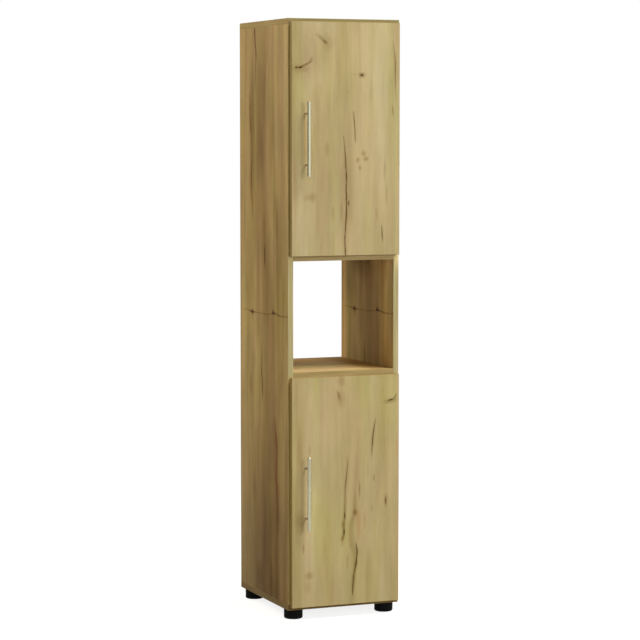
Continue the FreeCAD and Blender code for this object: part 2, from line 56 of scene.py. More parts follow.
# ---- what the boards show ------------------------------------------------------
# lines: (along, across, half width, strength); spots: (across, along, radius
# across, radius along, turn in degrees, strength); metres.
UP_LINES = [
    [(1.5315, -0.0089, 0.00086, 0.3), (1.5128, -0.0065, 0.00103, 0.5), (1.4891, -0.0044, 0.00121, 0.65), (1.4552, -0.002, 0.00172, 0.85), (1.422, 0.0, 0.00207, 0.9), (1.395, 0.0011, 0.00228, 0.95), (1.3681, -0.0003, 0.00207, 0.9), (1.3412, 0.0011, 0.00228, 0.95), (1.3032, 0.0011, 0.00214, 0.95), (1.2766, 0.0, 0.00248, 0.98), (1.2494, -0.002, 0.00214, 0.95), (1.2222, -0.0034, 0.00214, 0.95), (1.1988, -0.0044, 0.00228, 0.95), (1.1747, -0.0027, 0.00228, 0.95), (1.1544, -0.002, 0.00207, 0.9)],
    [(1.6137, 0.0252, 0.00086, 0.1), (1.6041, 0.0255, 0.00103, 0.4), (1.5775, 0.0279, 0.00121, 0.55), (1.5534, 0.0297, 0.00121, 0.5), (1.5312, 0.0304, 0.00121, 0.45), (1.5074, 0.0317, 0.00103, 0.05)],
    [(1.8348, 0.1597, 0.00103, 0.1), (1.8039, 0.1639, 0.00138, 0.5), (1.7764, 0.1677, 0.00172, 0.7), (1.7422, 0.1684, 0.0019, 0.75), (1.7218, 0.1684, 0.00172, 0.65), (1.6738, 0.1698, 0.00121, 0.35), (1.6367, 0.1709, 0.00103, 0.05)],
    [(1.6367, 0.1579, 0.00103, 0.05), (1.6121, 0.16, 0.00172, 0.5), (1.5887, 0.1625, 0.00103, 0.05)],
    [(1.2554, 0.1226, 0.00069, 0.05), (1.241, 0.123, 0.00121, 0.5), (1.2219, 0.1237, 0.00138, 0.7), (1.1963, 0.1258, 0.00086, 0.1)],
]
UP_D = [
    (-0.1678, 1.7463, 0.00449, 0.00261, 0.0, 0.8),
    (-0.155, 1.7474, 0.00654, 0.00294, 9.5, 0.85),
    (0.0535, 1.7246, 0.00552, 0.00359, 0.0, 0.75),
    (0.0083, 1.3221, 0.00259, 0.00717, 0.0, 0.6),
]
UP_M = [
    (-0.1361, 1.7565, 0.02047, 0.00363, 25.7, 0.55),
    (-0.1191, 1.7708, 0.01054, 0.0041, 63.7, 0.35),
    (0.0535, 1.7246, 0.01104, 0.00782, 0.0, 0.45),
    (-0.0726, 1.827, 0.00674, 0.00435, -39.4, 0.45),
    (-0.0824, 1.836, 0.0219, 0.00535, -39.4, 0.35),
]
UP_S = [
    (-0.156, 1.7433, 0.0276, 0.01108, 0.0, 0.35),
    (0.0601, 1.4788, 0.00759, 0.00848, 0.0, 0.5),
    (0.0674, 1.4616, 0.00793, 0.00652, 0.0, 0.55),
    (0.0397, 1.4585, 0.00621, 0.00717, 0.0, 0.5),
    (0.0473, 1.434, 0.00552, 0.00717, 0.0, 0.45),
    (-0.1144, 1.3421, 0.01104, 0.01369, 0.0, 0.42),
    (-0.1344, 1.3408, 0.00897, 0.00978, 0.0, 0.22),
    (-0.065, 1.4918, 0.00655, 0.02119, 0.0, 0.33),
    (-0.0449, 1.2943, 0.00552, 0.01956, 0.0, 0.25),
    (-0.0158, 1.2971, 0.00552, 0.02934, 0.0, 0.25),
    (0.1383, 1.3493, 0.0038, 0.02934, 0.0, 0.3),
    (0.1327, 1.425, 0.0038, 0.02934, 0.0, 0.35),
    (0.1049, 1.2859, 0.00345, 0.0163, 0.0, 0.25),
    (0.0269, 1.7269, 0.00414, 0.00326, 0.0, 0.3),
    (-0.0841, 1.6762, 0.00449, 0.02282, 0.0, 0.15),
    (0.0861, 1.6712, 0.00552, 0.02608, 0.0, 0.15),
]
UP_TONE = [
    (ORANGE, [(1.638, -0.1415, 0.00414, 0.0), (1.6066, -0.1415, 0.00517, 0.55), (1.5563, -0.1405, 0.00552, 0.7), (1.5061, -0.1398, 0.00552, 0.6), (1.4558, -0.1415, 0.00483, 0.5), (1.4118, -0.1415, 0.00414, 0.0)]),
    (ORANGE, [(1.5816, -0.1069, 0.00345, 0.0), (1.5406, -0.1066, 0.00449, 0.55), (1.5029, -0.1086, 0.00414, 0.25), (1.4651, -0.1137, 0.00414, 0.35), (1.4368, -0.1144, 0.00345, 0.0)]),
    (PALE, [(1.8344, -0.0432, 0.0069, 0.0), (1.8029, -0.0432, 0.00897, 0.5), (1.765, -0.0422, 0.00897, 0.5), (1.7207, -0.0415, 0.0069, 0.0)]),
    (GREEN, [(1.7142, -0.062, 0.01035, 0.0), (1.6764, -0.0606, 0.01173, 0.6), (1.629, -0.0592, 0.01173, 0.6), (1.5785, -0.0586, 0.01035, 0.0)]),
    (GREEN, [(1.5971, -0.1638, 0.0069, 0.0), (1.5563, -0.1638, 0.00863, 0.6), (1.503, -0.1638, 0.00863, 0.6), (1.4402, -0.1638, 0.0069, 0.0)]),
    (GREEN, [(1.6462, 0.1436, 0.0069, 0.0), (1.5823, 0.1446, 0.00897, 0.6), (1.4546, 0.1453, 0.00897, 0.6), (1.3748, 0.1453, 0.0069, 0.0)]),
    (GREEN, [(1.9003, 0.0826, 0.01725, 0.3), (1.7731, 0.0878, 0.0276, 0.45), (1.6458, 0.0861, 0.0276, 0.4), (1.4867, 0.0757, 0.02415, 0.2), (1.3913, 0.0687, 0.02415, 0.0)]),
    (PINK, [(1.8993, 0.0376, 0.0207, 0.5), (1.8041, 0.0341, 0.0207, 0.5), (1.693, 0.0307, 0.02415, 0.4), (1.5819, 0.0204, 0.0207, 0.2), (1.5185, 0.0135, 0.01725, 0.0)]),
    (YELLOW, [(1.8982, -0.014, 0.02415, 0.6), (1.8034, -0.0106, 0.02415, 0.6), (1.7084, -0.0106, 0.0207, 0.3), (1.6451, -0.0106, 0.0207, 0.0)]),
    (DIM, [(1.7138, -0.1029, 0.01725, 0.0), (1.6603, -0.1029, 0.0207, 0.6), (1.5973, -0.0995, 0.01725, 0.3), (1.5501, -0.0995, 0.01725, 0.0)]),
    (DIM, [(1.8925, 0.0131, 0.00276, 0.35), (1.7879, 0.0138, 0.00276, 0.35), (1.696, 0.0141, 0.00276, 0.0)]),
    (PINK, [(1.9023, 0.1768, 0.00863, 0.6), (1.5824, 0.1779, 0.00863, 0.6), (1.1505, 0.1779, 0.00863, 0.6)]),
    (GREEN, [(1.3595, 0.0757, 0.01725, 0.0), (1.28, 0.0757, 0.0207, 0.5), (1.1847, 0.0687, 0.0207, 0.5), (1.1497, 0.0687, 0.0207, 0.5)]),
    (PINK, [(1.4871, -0.0824, 0.0207, 0.0), (1.4083, -0.0824, 0.02415, 0.5), (1.2823, -0.0892, 0.02415, 0.4), (1.1562, -0.0824, 0.02415, 0.4)]),
]
LO_LINES = [
    [(0.6409, 0.1024, 0.00103, 0.05), (0.6172, 0.0993, 0.00155, 0.5), (0.5935, 0.0955, 0.00172, 0.7), (0.5666, 0.0923, 0.00172, 0.65), (0.5445, 0.0906, 0.00155, 0.5), (0.5111, 0.0892, 0.00103, 0.05)],
    [(0.5238, 0.008, 0.00172, 0.1), (0.4972, 0.0066, 0.00207, 0.4), (0.4702, 0.0038, 0.00241, 0.6), (0.4431, 0.0011, 0.00241, 0.6), (0.4183, -0.002, 0.00207, 0.5), (0.382, -0.0034, 0.00172, 0.25), (0.3418, -0.0044, 0.00172, 0.4), (0.3125, -0.0055, 0.00138, 0.2), (0.284, -0.0061, 0.00172, 0.3), (0.2527, -0.0106, 0.00172, 0.1)],
    [(0.2399, 0.0341, 0.00103, 0.2), (0.2238, 0.0373, 0.00172, 0.75), (0.2097, 0.039, 0.00207, 0.75), (0.1889, 0.0373, 0.00172, 0.6), (0.1725, 0.0355, 0.00259, 0.95), (0.1557, 0.0317, 0.00172, 0.6), (0.1388, 0.0283, 0.0019, 0.65), (0.1155, 0.0259, 0.00241, 0.9), (0.0916, 0.0238, 0.00172, 0.65), (0.0679, 0.0231, 0.00103, 0.1)],
]
LO_D = [
    (0.1551, 0.6929, 0.0103, 0.00229, 16.1, 0.8),
    (0.1712, 0.7036, 0.00863, 0.0022, 54.5, 0.55),
    (-0.0041, 0.3282, 0.00259, 0.00978, 0.0, 0.65),
    (-0.0058, 0.2758, 0.00311, 0.00913, 0.0, 0.7),
    (0.1383, 0.3697, 0.00276, 0.00978, 0.0, 0.6),
]
LO_M = [
    (0.1558, 0.6903, 0.02065, 0.00719, 11.4, 0.4),
    (-0.0247, 0.7138, 0.01503, 0.00447, -77.3, 0.5),
    (0.0324, 0.3374, 0.00655, 0.00848, 0.0, 0.5),
    (-0.0106, 0.2581, 0.01123, 0.00443, 60.6, 0.45),
    (-0.0099, 0.3001, 0.00483, 0.01304, 0.0, 0.4),
    (0.0473, 0.4097, 0.00276, 0.02282, 0.0, 0.45),
    (-0.1452, 0.2302, 0.00276, 0.01434, 0.0, 0.4),
    (0.0972, 0.4454, 0.00276, 0.01043, 0.0, 0.35),
    (0.0906, 0.349, 0.00241, 0.01043, 0.0, 0.3),
]
LO_S = [
    (-0.0158, 0.7593, 0.01242, 0.01793, 0.0, 0.35),
    (0.1383, 0.3694, 0.00655, 0.02282, 0.0, 0.35),
    (-0.1259, 0.143, 0.01173, 0.01043, 0.0, 0.45),
    (-0.1577, 0.3168, 0.01242, 0.0326, 0.0, 0.38),
    (-0.13, 0.1043, 0.01035, 0.0163, 0.0, 0.2),
    (-0.1232, 0.5408, 0.00276, 0.0163, 0.0, 0.4),
    (-0.0175, 0.7024, 0.0138, 0.02608, 0.0, 0.25),
    (0.0653, 0.3107, 0.00414, 0.02934, 0.0, 0.25),
    (0.0757, 0.469, 0.00345, 0.02608, 0.0, 0.2),
    (0.0045, 0.1787, 0.00345, 0.02282, 0.0, 0.25),
    (-0.157, 0.5396, 0.00828, 0.05868, 0.0, 0.25),
    (-0.0722, 0.232, 0.00345, 0.02282, 0.0, 0.15),
]
LO_TONE = [
    (ORANGE, [(0.36, 0.0411, 0.0138, 0.0), (0.3121, 0.0445, 0.01553, 0.45), (0.274, 0.0445, 0.0138, 0.4), (0.2333, 0.0376, 0.01035, 0.0)]),
    (SOFT, [(0.4305, 0.0307, 0.0069, 0.0), (0.3829, 0.0307, 0.01035, 0.35), (0.3354, 0.029, 0.01449, 0.5), (0.2824, 0.0169, 0.01725, 0.42), (0.2346, 0.0204, 0.01725, 0.4), (0.1861, 0.0324, 0.01311, 0.42), (0.123, 0.0272, 0.01104, 0.42), (0.0567, 0.0238, 0.00759, 0.1)]),
    (SOFT, [(0.4735, 0.0014, 0.00621, 0.0), (0.4104, -0.002, 0.00897, 0.3), (0.3314, -0.0044, 0.00966, 0.45), (0.2653, -0.0096, 0.00966, 0.5), (0.2213, -0.014, 0.0069, 0.0)]),
    (SOFT, [(0.6113, 0.0916, 0.00517, 0.0), (0.5635, 0.0916, 0.00759, 0.28), (0.5, 0.0889, 0.00552, 0.0)]),
    (DIM, [(0.2302, 0.0791, 0.0138, 0.0), (0.1664, 0.0809, 0.01553, 0.7), (0.0807, 0.0791, 0.01553, 0.6), (0.0362, 0.0791, 0.01553, 0.5)]),
    (PALE, [(0.7775, 0.1488, 0.0138, 0.3), (0.6242, 0.1488, 0.01553, 0.55), (0.4645, 0.1488, 0.01553, 0.6), (0.369, 0.1453, 0.0138, 0.1)]),
    (PINK, [(0.7818, 0.048, 0.01725, 0.3), (0.6294, 0.048, 0.01725, 0.6), (0.4713, 0.0376, 0.0207, 0.6), (0.3763, 0.0341, 0.01725, 0.2)]),
    (GREEN, [(0.7885, -0.1062, 0.0138, 0.3), (0.7317, -0.1045, 0.01725, 0.6), (0.6372, -0.1029, 0.01725, 0.4), (0.4796, -0.0995, 0.0207, 0.3), (0.3849, -0.0961, 0.01725, 0.0)]),
    (DIM, [(0.7911, -0.1689, 0.01035, 0.1), (0.6719, -0.1672, 0.0138, 0.5), (0.4836, -0.1655, 0.01553, 0.6), (0.3896, -0.1672, 0.0138, 0.5), (0.2486, -0.1689, 0.0138, 0.2)]),
    (DIM, [(0.7783, -0.0175, 0.0138, 0.5), (0.7119, -0.0175, 0.0138, 0.5), (0.6643, -0.014, 0.01035, 0.0)]),
    (YELLOW, [(0.3827, -0.062, 0.0276, 0.0), (0.2565, -0.062, 0.03105, 0.5), (0.0482, -0.062, 0.03105, 0.5)]),
    (PINK, [(0.7667, 0.1779, 0.00863, 0.5), (0.4308, 0.1779, 0.00863, 0.5), (0.0309, 0.1779, 0.00863, 0.5)]),
    (ORANGE, [(0.5908, 0.1768, 0.00414, 0.0), (0.5364, 0.1768, 0.00517, 0.6), (0.4852, 0.1768, 0.00414, 0.0)]),
]
SI_LINES = [
    [(1.8845, 0.1069, 0.00366, 0.5), (1.8556, 0.1041, 0.00384, 0.7), (1.8273, 0.0994, 0.00384, 0.75), (1.8023, 0.0938, 0.00366, 0.7), (1.7853, 0.0929, 0.0032, 0.5), (1.7599, 0.0966, 0.00275, 0.35), (1.7176, 0.1012, 0.00275, 0.3), (1.6751, 0.1041, 0.00229, 0.05)],
    [(0.866, 0.0475, 0.00229, 0.1), (0.8232, 0.0447, 0.00275, 0.35), (0.7819, 0.0456, 0.00302, 0.5), (0.7466, 0.0419, 0.00302, 0.6), (0.7195, 0.0401, 0.00302, 0.5), (0.6788, 0.0392, 0.00229, 0.05)],
    [(1.1853, 0.0209, 0.00229, 0.1), (1.1628, 0.0181, 0.00302, 0.5), (1.137, 0.0172, 0.00302, 0.5), (1.1111, 0.0172, 0.00229, 0.05)],
]
SI_RED = [
    [(1.6762, 0.1596, 0.00275, 0.1), (1.6432, 0.152, 0.00412, 0.5), (1.6069, 0.1502, 0.00458, 0.6), (1.572, 0.1454, 0.00458, 0.6), (1.5411, 0.1388, 0.00412, 0.5), (1.5083, 0.135, 0.00366, 0.35), (1.4771, 0.1322, 0.00412, 0.45), (1.4327, 0.135, 0.00503, 0.65), (1.3933, 0.1379, 0.00549, 0.75), (1.3539, 0.136, 0.00458, 0.6), (1.3048, 0.1294, 0.00366, 0.4), (1.2622, 0.1284, 0.00275, 0.05)],
    [(0.6404, -0.0694, 0.00549, 0.1), (0.5967, -0.0765, 0.00824, 0.5), (0.5625, -0.0836, 0.00915, 0.6), (0.5281, -0.0881, 0.00824, 0.55), (0.4915, -0.0863, 0.00824, 0.6), (0.4434, -0.0836, 0.00824, 0.6), (0.4105, -0.0898, 0.00915, 0.6), (0.3697, -0.0934, 0.00824, 0.5), (0.3259, -0.0978, 0.00824, 0.5), (0.2875, -0.096, 0.00732, 0.35), (0.2425, -0.0934, 0.00549, 0.0)],
]
# bands over the sides: mostly the print, while the lower front bands are painted shade, darker towards the bottom
SI_TONE = [
    (SHADE, [(1.8815, 0.0447, 0.04575, 0.1), (1.7777, 0.0447, 0.05124, 0.4), (1.6803, 0.0401, 0.0549, 0.75), (1.5831, 0.0447, 0.0549, 0.8), (1.5182, 0.0493, 0.0549, 0.85), (1.4534, 0.0447, 0.05948, 0.7), (1.3242, 0.0263, 0.06405, 0.55), (1.131, 0.0081, 0.0732, 0.7), (1.0033, -0.0101, 0.08235, 0.7), (0.844, -0.0282, 0.0915, 0.6), (0.6835, -0.0282, 0.0915, 0.6), (0.555, -0.0282, 0.0915, 0.5), (0.4252, -0.0191, 0.08235, 0.2)]),
    (DARKBAND, [(0.5501, 0.0081, 0.06405, 0.1), (0.4526, 0.0126, 0.06863, 0.35), (0.3878, 0.0145, 0.06863, 0.58), (0.3227, 0.0172, 0.06863, 0.75), (0.2258, 0.0172, 0.06863, 0.85), (0.1288, 0.0172, 0.06863, 0.85), (-0.0069, 0.0172, 0.06863, 0.8)]),
    (PALE, [(1.8822, -0.073, 0.0366, 0.5), (1.678, -0.073, 0.04026, 0.6), (1.5185, -0.0774, 0.0366, 0.4), (1.423, -0.0907, 0.02745, 0.1), (1.3275, -0.0907, 0.02745, 0.0)]),
    (PALE, [(0.8146, 0.1097, 0.01464, 0.0), (0.7491, 0.1097, 0.0183, 0.5), (0.6022, 0.1069, 0.0183, 0.5), (0.5204, 0.1069, 0.01464, 0.0)]),
    (CLEAR, [(1.9025, 0.2045, 0.04575, 0.35), (1.7832, 0.2045, 0.04575, 0.25), (1.6837, 0.2045, 0.04575, 0.0), (1.518, 0.2045, 0.04575, 0.05), (1.3688, 0.2045, 0.04575, 0.35), (1.2694, 0.2045, 0.04575, 0.8), (1.1368, 0.2045, 0.04575, 1.0), (0.855, 0.2045, 0.04575, 1.0), (0.739, 0.2045, 0.04575, 0.75), (0.6064, 0.2045, 0.04575, 0.3), (0.507, 0.2045, 0.04575, 0.45), (0.3578, 0.2045, 0.04575, 0.8), (-0.0466, 0.2045, 0.04575, 0.8)]),
    (CLEAR, [(1.091, 0.1379, 0.04118, 0.0), (0.8118, 0.1379, 0.04118, 0.35), (0.664, 0.1379, 0.04118, 0.3), (0.4997, 0.1379, 0.04118, 0.55), (0.3355, 0.1379, 0.04118, 0.5), (0.2041, 0.1379, 0.04118, 0.1), (0.0727, 0.1379, 0.04118, 0.0)]),
    (CLEAR, [(0.8988, 0.0817, 0.04118, 0.0), (0.7847, 0.0817, 0.04118, 0.4), (0.6706, 0.0817, 0.04118, 0.25), (0.5402, 0.0817, 0.04118, 0.0)]),
    (CLEAR, [(1.8905, -0.0354, 0.04392, 0.9), (1.775, -0.0354, 0.04392, 0.85), (1.6627, -0.0354, 0.04392, 0.4), (1.5665, -0.0354, 0.04118, 0.0), (1.1655, -0.0354, 0.04118, 0.0), (0.973, -0.0354, 0.04118, 0.35), (0.8126, -0.0354, 0.04118, 0.6), (0.6362, -0.0354, 0.04118, 0.5), (0.5239, -0.0354, 0.04118, 0.0)]),
    (CLEAR, [(1.8877, -0.0907, 0.04118, 0.55), (1.7731, -0.0907, 0.04118, 0.5), (1.6617, -0.0907, 0.04118, 0.2), (1.5503, -0.0907, 0.04118, 0.0)]),
    (CLEAR, [(1.8845, -0.1548, 0.04575, 1.0), (1.771, -0.1548, 0.04575, 0.95), (1.6448, -0.1548, 0.04575, 0.65), (1.487, -0.1548, 0.04575, 0.65), (1.3608, -0.1548, 0.04575, 0.5), (1.2189, -0.1548, 0.04575, 0.95), (1.0769, -0.1548, 0.04575, 0.45), (0.9507, -0.1548, 0.04575, 0.05), (0.6983, -0.1548, 0.04575, 0.05), (0.5248, -0.1548, 0.04575, 0.2), (0.446, -0.1548, 0.04575, 0.0)]),
    (SHADE, [(1.8136, 0.135, 0.04118, 0.0), (1.6987, 0.135, 0.04118, 0.45), (1.5345, 0.135, 0.04118, 0.65), (1.3868, 0.135, 0.04118, 0.45), (1.239, 0.135, 0.04118, 0.1), (1.0912, 0.135, 0.04118, 0.0)]),
    (SHADE, [(1.8961, 0.077, 0.04118, 0.2), (1.7788, 0.077, 0.04118, 0.3), (1.6485, 0.077, 0.04118, 0.4), (1.4856, 0.077, 0.04118, 0.5), (1.3553, 0.077, 0.04118, 0.35), (1.2087, 0.077, 0.04118, 0.15), (1.0295, 0.077, 0.04118, 0.1), (0.8992, 0.077, 0.04118, 0.0)]),
    (SHADE, [(1.8932, 0.019, 0.04118, 0.2), (1.7769, 0.019, 0.04118, 0.3), (1.6314, 0.019, 0.04118, 0.45), (1.486, 0.019, 0.04118, 0.4), (1.389, 0.019, 0.04118, 0.0), (1.0335, 0.019, 0.04118, 0.1), (0.9042, 0.019, 0.04118, 0.28), (0.7587, 0.019, 0.04118, 0.22), (0.6133, 0.019, 0.04118, 0.1), (0.5486, 0.019, 0.04118, 0.0)]),
    (SHADE, [(1.5986, -0.0354, 0.04118, 0.0), (1.5023, -0.0354, 0.04118, 0.35), (1.374, -0.0354, 0.04118, 0.1), (1.2938, -0.0354, 0.04118, 0.0)]),
    (SHADE, [(1.3592, -0.0872, 0.04118, 0.0), (1.2478, -0.0872, 0.04392, 0.38), (1.0726, -0.0872, 0.04392, 0.32), (0.8974, -0.0872, 0.04392, 0.1), (0.7859, -0.0872, 0.04118, 0.0), (0.6745, -0.0872, 0.04118, 0.2), (0.563, -0.0872, 0.04392, 0.3), (0.4834, -0.0872, 0.04118, 0.0)]),
    (LOW_SHADE, [(0.5949, -0.0872, 0.04118, 0.0), (0.5152, -0.0872, 0.04392, 0.35), (0.404, -0.089, 0.04666, 0.78), (0.2767, -0.089, 0.04941, 0.9), (0.0156, -0.089, 0.04941, 0.95)]),
    (LOW_SHADE, [(0.4761, -0.0372, 0.04118, 0.0), (0.3798, -0.0372, 0.04118, 0.42), (0.2355, -0.0372, 0.04392, 0.9), (0.0046, -0.0372, 0.04392, 0.9)]),
    (SHADE, [(0.4584, 0.0835, 0.04118, 0.0), (0.3606, 0.0835, 0.04392, 0.4), (0.2138, 0.0835, 0.04392, 0.75), (-0.021, 0.0835, 0.04392, 0.65)]),
    (LOW_SHADE, [(0.4933, -0.1548, 0.04666, 0.0), (0.3829, -0.1548, 0.04941, 0.12), (0.2567, -0.1548, 0.05215, 0.55), (0.0295, -0.1548, 0.05215, 0.85)]),
]
SI_WAVE = [(-0.1869, 0.9669, 0.00133, 0.5), (-0.1444, 0.9644, 0.0014, 0.55), (-0.1075, 0.9656, 0.00167, 0.7), (-0.0596, 0.9698, 0.002, 0.8), (-0.0408, 0.967, 0.00133, 0.45), (0.0273, 0.9617, 0.00133, 0.45), (0.0873, 0.9622, 0.00133, 0.4), (0.1322, 0.9614, 0.002, 0.8), (0.1672, 0.965, 0.0015, 0.5), (0.2238, 0.9663, 0.00133, 0.15)]
SI_D = [
    (0.1313, 0.9618, 0.00458, 0.005, 0.0, 0.85),
    (-0.0596, 0.9708, 0.00412, 0.00466, 0.0, 0.85),
]
SI_S = [
    (0.1284, 0.9489, 0.00549, 0.01166, 0.0, 0.4),
    (0.1294, 0.9718, 0.00366, 0.00666, 0.0, 0.3),
    (-0.0578, 0.9812, 0.00458, 0.01066, 0.0, 0.4),
    (-0.0934, 1.2416, 0.00961, 0.04995, 0.0, 0.38),
    (0.0227, 1.2499, 0.00823, 0.03663, 0.0, 0.33),
    (0.1454, 0.7223, 0.01373, 0.03663, 0.0, 0.35),
    (0.1172, 0.3945, 0.01921, 0.04329, 0.0, 0.25),
    (0.0631, 0.1004, 0.02745, 0.04662, 0.0, 0.35),
    (-0.0408, 0.1112, 0.01281, 0.04995, 0.0, 0.45),
    (-0.126, 1.5502, 0.01098, 0.0666, 0.0, 0.12),
    (0.0817, 0.8988, 0.00915, 0.04662, 0.0, 0.15),
    (-0.1435, 0.8234, 0.01098, 0.07326, 0.0, 0.15),
]


# ---- node tree helper -------------------------------------------------------------
class Tree:
    def __init__(self, name):
        old = bpy.data.materials.get(name)
        if old:
            bpy.data.materials.remove(old)
        self.mat = bpy.data.materials.new(name)
        self.mat.use_nodes = True
        self.nt = self.mat.node_tree
        self.nt.nodes.clear()
        self.out = self.nt.nodes.new("ShaderNodeOutputMaterial")
        self._coord = None

    def new(self, kind, **props):
        n = self.nt.nodes.new(kind)
        for k, v in props.items():
            setattr(n, k, v)
        return n

    def put(self, sock, v):
        if isinstance(v, bpy.types.NodeSocket):
            self.nt.links.new(v, sock)
        elif v is not None:
            if sock.type == "RGBA" and not isinstance(v, (int, float)) and len(v) == 3:
                v = (*v, 1.0)
            sock.default_value = v

    def coord(self):
        if self._coord is None:
            tc = self.new("ShaderNodeTexCoord")
            sep = self.new("ShaderNodeSeparateXYZ")
            self.nt.links.new(tc.outputs["Object"], sep.inputs[0])
            self._coord = (tc.outputs["Object"], sep.outputs[0], sep.outputs[1], sep.outputs[2])
        return self._coord

    def m(self, op, a, b=None, c=None, clamp=False):
        n = self.new("ShaderNodeMath", operation=op, use_clamp=clamp)
        self.put(n.inputs[0], a)
        if b is not None:
            self.put(n.inputs[1], b)
        if c is not None:
            self.put(n.inputs[2], c)
        return n.outputs[0]

    def vm(self, op, a, b=None):
        n = self.new("ShaderNodeVectorMath", operation=op)
        self.put(n.inputs[0], a)
        if b is not None:
            self.put(n.inputs[1], b)
        return n.outputs["Value"] if op in ("LENGTH", "DOT_PRODUCT", "DISTANCE") else n.outputs[0]

    def xyz(self, x, y, z):
        n = self.new("ShaderNodeCombineXYZ")
        for i, v in enumerate((x, y, z)):
            self.put(n.inputs[i], v)
        return n.outputs[0]

    def noise(self, vec, scale=1.0, detail=2.0, rough=0.5, dist=0.0, colour=False):
        n = self.new("ShaderNodeTexNoise", noise_dimensions="3D")
        self.put(n.inputs["Vector"], vec)
        n.inputs["Scale"].default_value = scale
        n.inputs["Detail"].default_value = detail
        n.inputs["Roughness"].default_value = rough
        n.inputs["Distortion"].default_value = dist
        return n.outputs["Color"] if colour else n.outputs[0]

    def voronoi(self, vec, scale, feature="F1", rand=1.0):
        n = self.new("ShaderNodeTexVoronoi", feature=feature)
        self.put(n.inputs["Vector"], vec)
        n.inputs["Scale"].default_value = scale
        n.inputs["Randomness"].default_value = rand
        return n

    def span(self, v, a, b, c=0.0, d=1.0, soft=False):
        n = self.new("ShaderNodeMapRange", interpolation_type="SMOOTHSTEP" if soft else "LINEAR")
        for i, x in enumerate((v, a, b, c, d)):
            self.put(n.inputs[i], x)
        return n.outputs[0]

    def curve(self, t, pts):
        n = self.new("ShaderNodeFloatCurve")
        c = n.mapping.curves[0]
        pts = sorted(pts)
        while len(c.points) < len(pts):
            c.points.new(0.5, 0.5)
        for p, (x, y) in zip(c.points, pts):
            p.location = (x, y)
            p.handle_type = "AUTO_CLAMPED"
        n.mapping.update()
        self.put(n.inputs["Value"], t)
        return n.outputs[0]

    def mix(self, f, a, b, blend="MIX"):
        n = self.new("ShaderNodeMix", data_type="RGBA", blend_type=blend)
        n.clamp_factor = True
        self.put(n.inputs[0], f)
        self.put(n.inputs[6], a)
        self.put(n.inputs[7], b)
        return n.outputs[2]

    def mixf(self, f, a, b):
        n = self.new("ShaderNodeMix", data_type="FLOAT")
        self.put(n.inputs[0], f)
        self.put(n.inputs[2], a)
        self.put(n.inputs[3], b)
        return n.outputs[0]

    def ramp(self, f, stops):
        n = self.new("ShaderNodeValToRGB")
        e = n.color_ramp.elements
        while len(e) < len(stops):
            e.new(0.5)
        for i, (p, c) in enumerate(sorted(stops)):
            e[i].position = p
            e[i].color = (*c, 1.0)
        self.put(n.inputs[0], f)
        return n.outputs[0]

    def bump(self, height, distance, strength=1.0, normal=None):
        n = self.new("ShaderNodeBump")
        n.inputs["Strength"].default_value = strength
        n.inputs["Distance"].default_value = distance
        self.put(n.inputs["Height"], height)
        if normal is not None:
            self.put(n.inputs["Normal"], normal)
        return n.outputs[0]

    def finish(self, colour, rough, normal=None, **fixed):
        n = self.new("ShaderNodeBsdfPrincipled")
        self.put(n.inputs["Base Color"], colour)
        self.put(n.inputs["Roughness"], rough)
        if normal is not None:
            self.put(n.inputs["Normal"], normal)
        for k, v in fixed.items():
            self.put(n.inputs[k.replace("_", " ")], v)
        self.nt.links.new(n.outputs[0], self.out.inputs["Surface"])
        return self.mat

    # features ---------------------------------------------------------------------
    def line_mask(self, along, across, pts, wobble=None):
        """Soft-edged line whose middle, half width and strength follow pts."""
        a0, a1 = min(p[0] for p in pts), max(p[0] for p in pts)
        c0 = min(p[1] for p in pts) - 0.002
        c1 = max(p[1] for p in pts) + 0.002
        w1 = max(p[2] for p in pts)
        t = self.span(along, a0, a1)
        f = lambda a: (a - a0) / (a1 - a0)
        mid = self.curve(t, [(f(p[0]), (p[1] - c0) / (c1 - c0)) for p in pts])
        mid = self.m("MULTIPLY_ADD", mid, c1 - c0, c0)
        d = self.m("SUBTRACT", across if wobble is None else self.m("ADD", across, wobble), mid)
        d = self.m("ABSOLUTE", d)
        wid = [p[2] for p in pts]
        w = w1 if max(wid) - min(wid) < 1e-6 else self.m("MULTIPLY", self.curve(t, [(f(p[0]), p[2] / w1) for p in pts]), w1)
        s = self.curve(t, [(f(p[0]), p[3]) for p in pts])
        # past the ends of the line its strength fades out
        inside = self.m("MULTIPLY", self.span(along, a0 - 0.004, a0, 0, 1), self.span(along, a1, a1 + 0.004, 1, 0))
        return self.m("MULTIPLY", self.span(d, 0.0, w, s, 0.0, soft=True), inside)

    def spot_mask(self, plane, spot, fray=None, k=1.0):
        n = self.new("ShaderNodeMapping", vector_type="TEXTURE")
        self.put(n.inputs["Vector"], plane)
        n.inputs["Location"].default_value = (spot[0], spot[1], 0)
        n.inputs["Rotation"].default_value = (0, 0, math.radians(spot[4]))
        n.inputs["Scale"].default_value = (spot[2] * k, spot[3] * k, 1)
        v = n.outputs[0]
        if fray is not None:
            v = self.vm("ADD", v, fray)
        return self.span(self.vm("LENGTH", v), 0.25, 1.4, spot[5], 0.0, soft=True)


AX = {"x": 1, "y": 2, "z": 3}


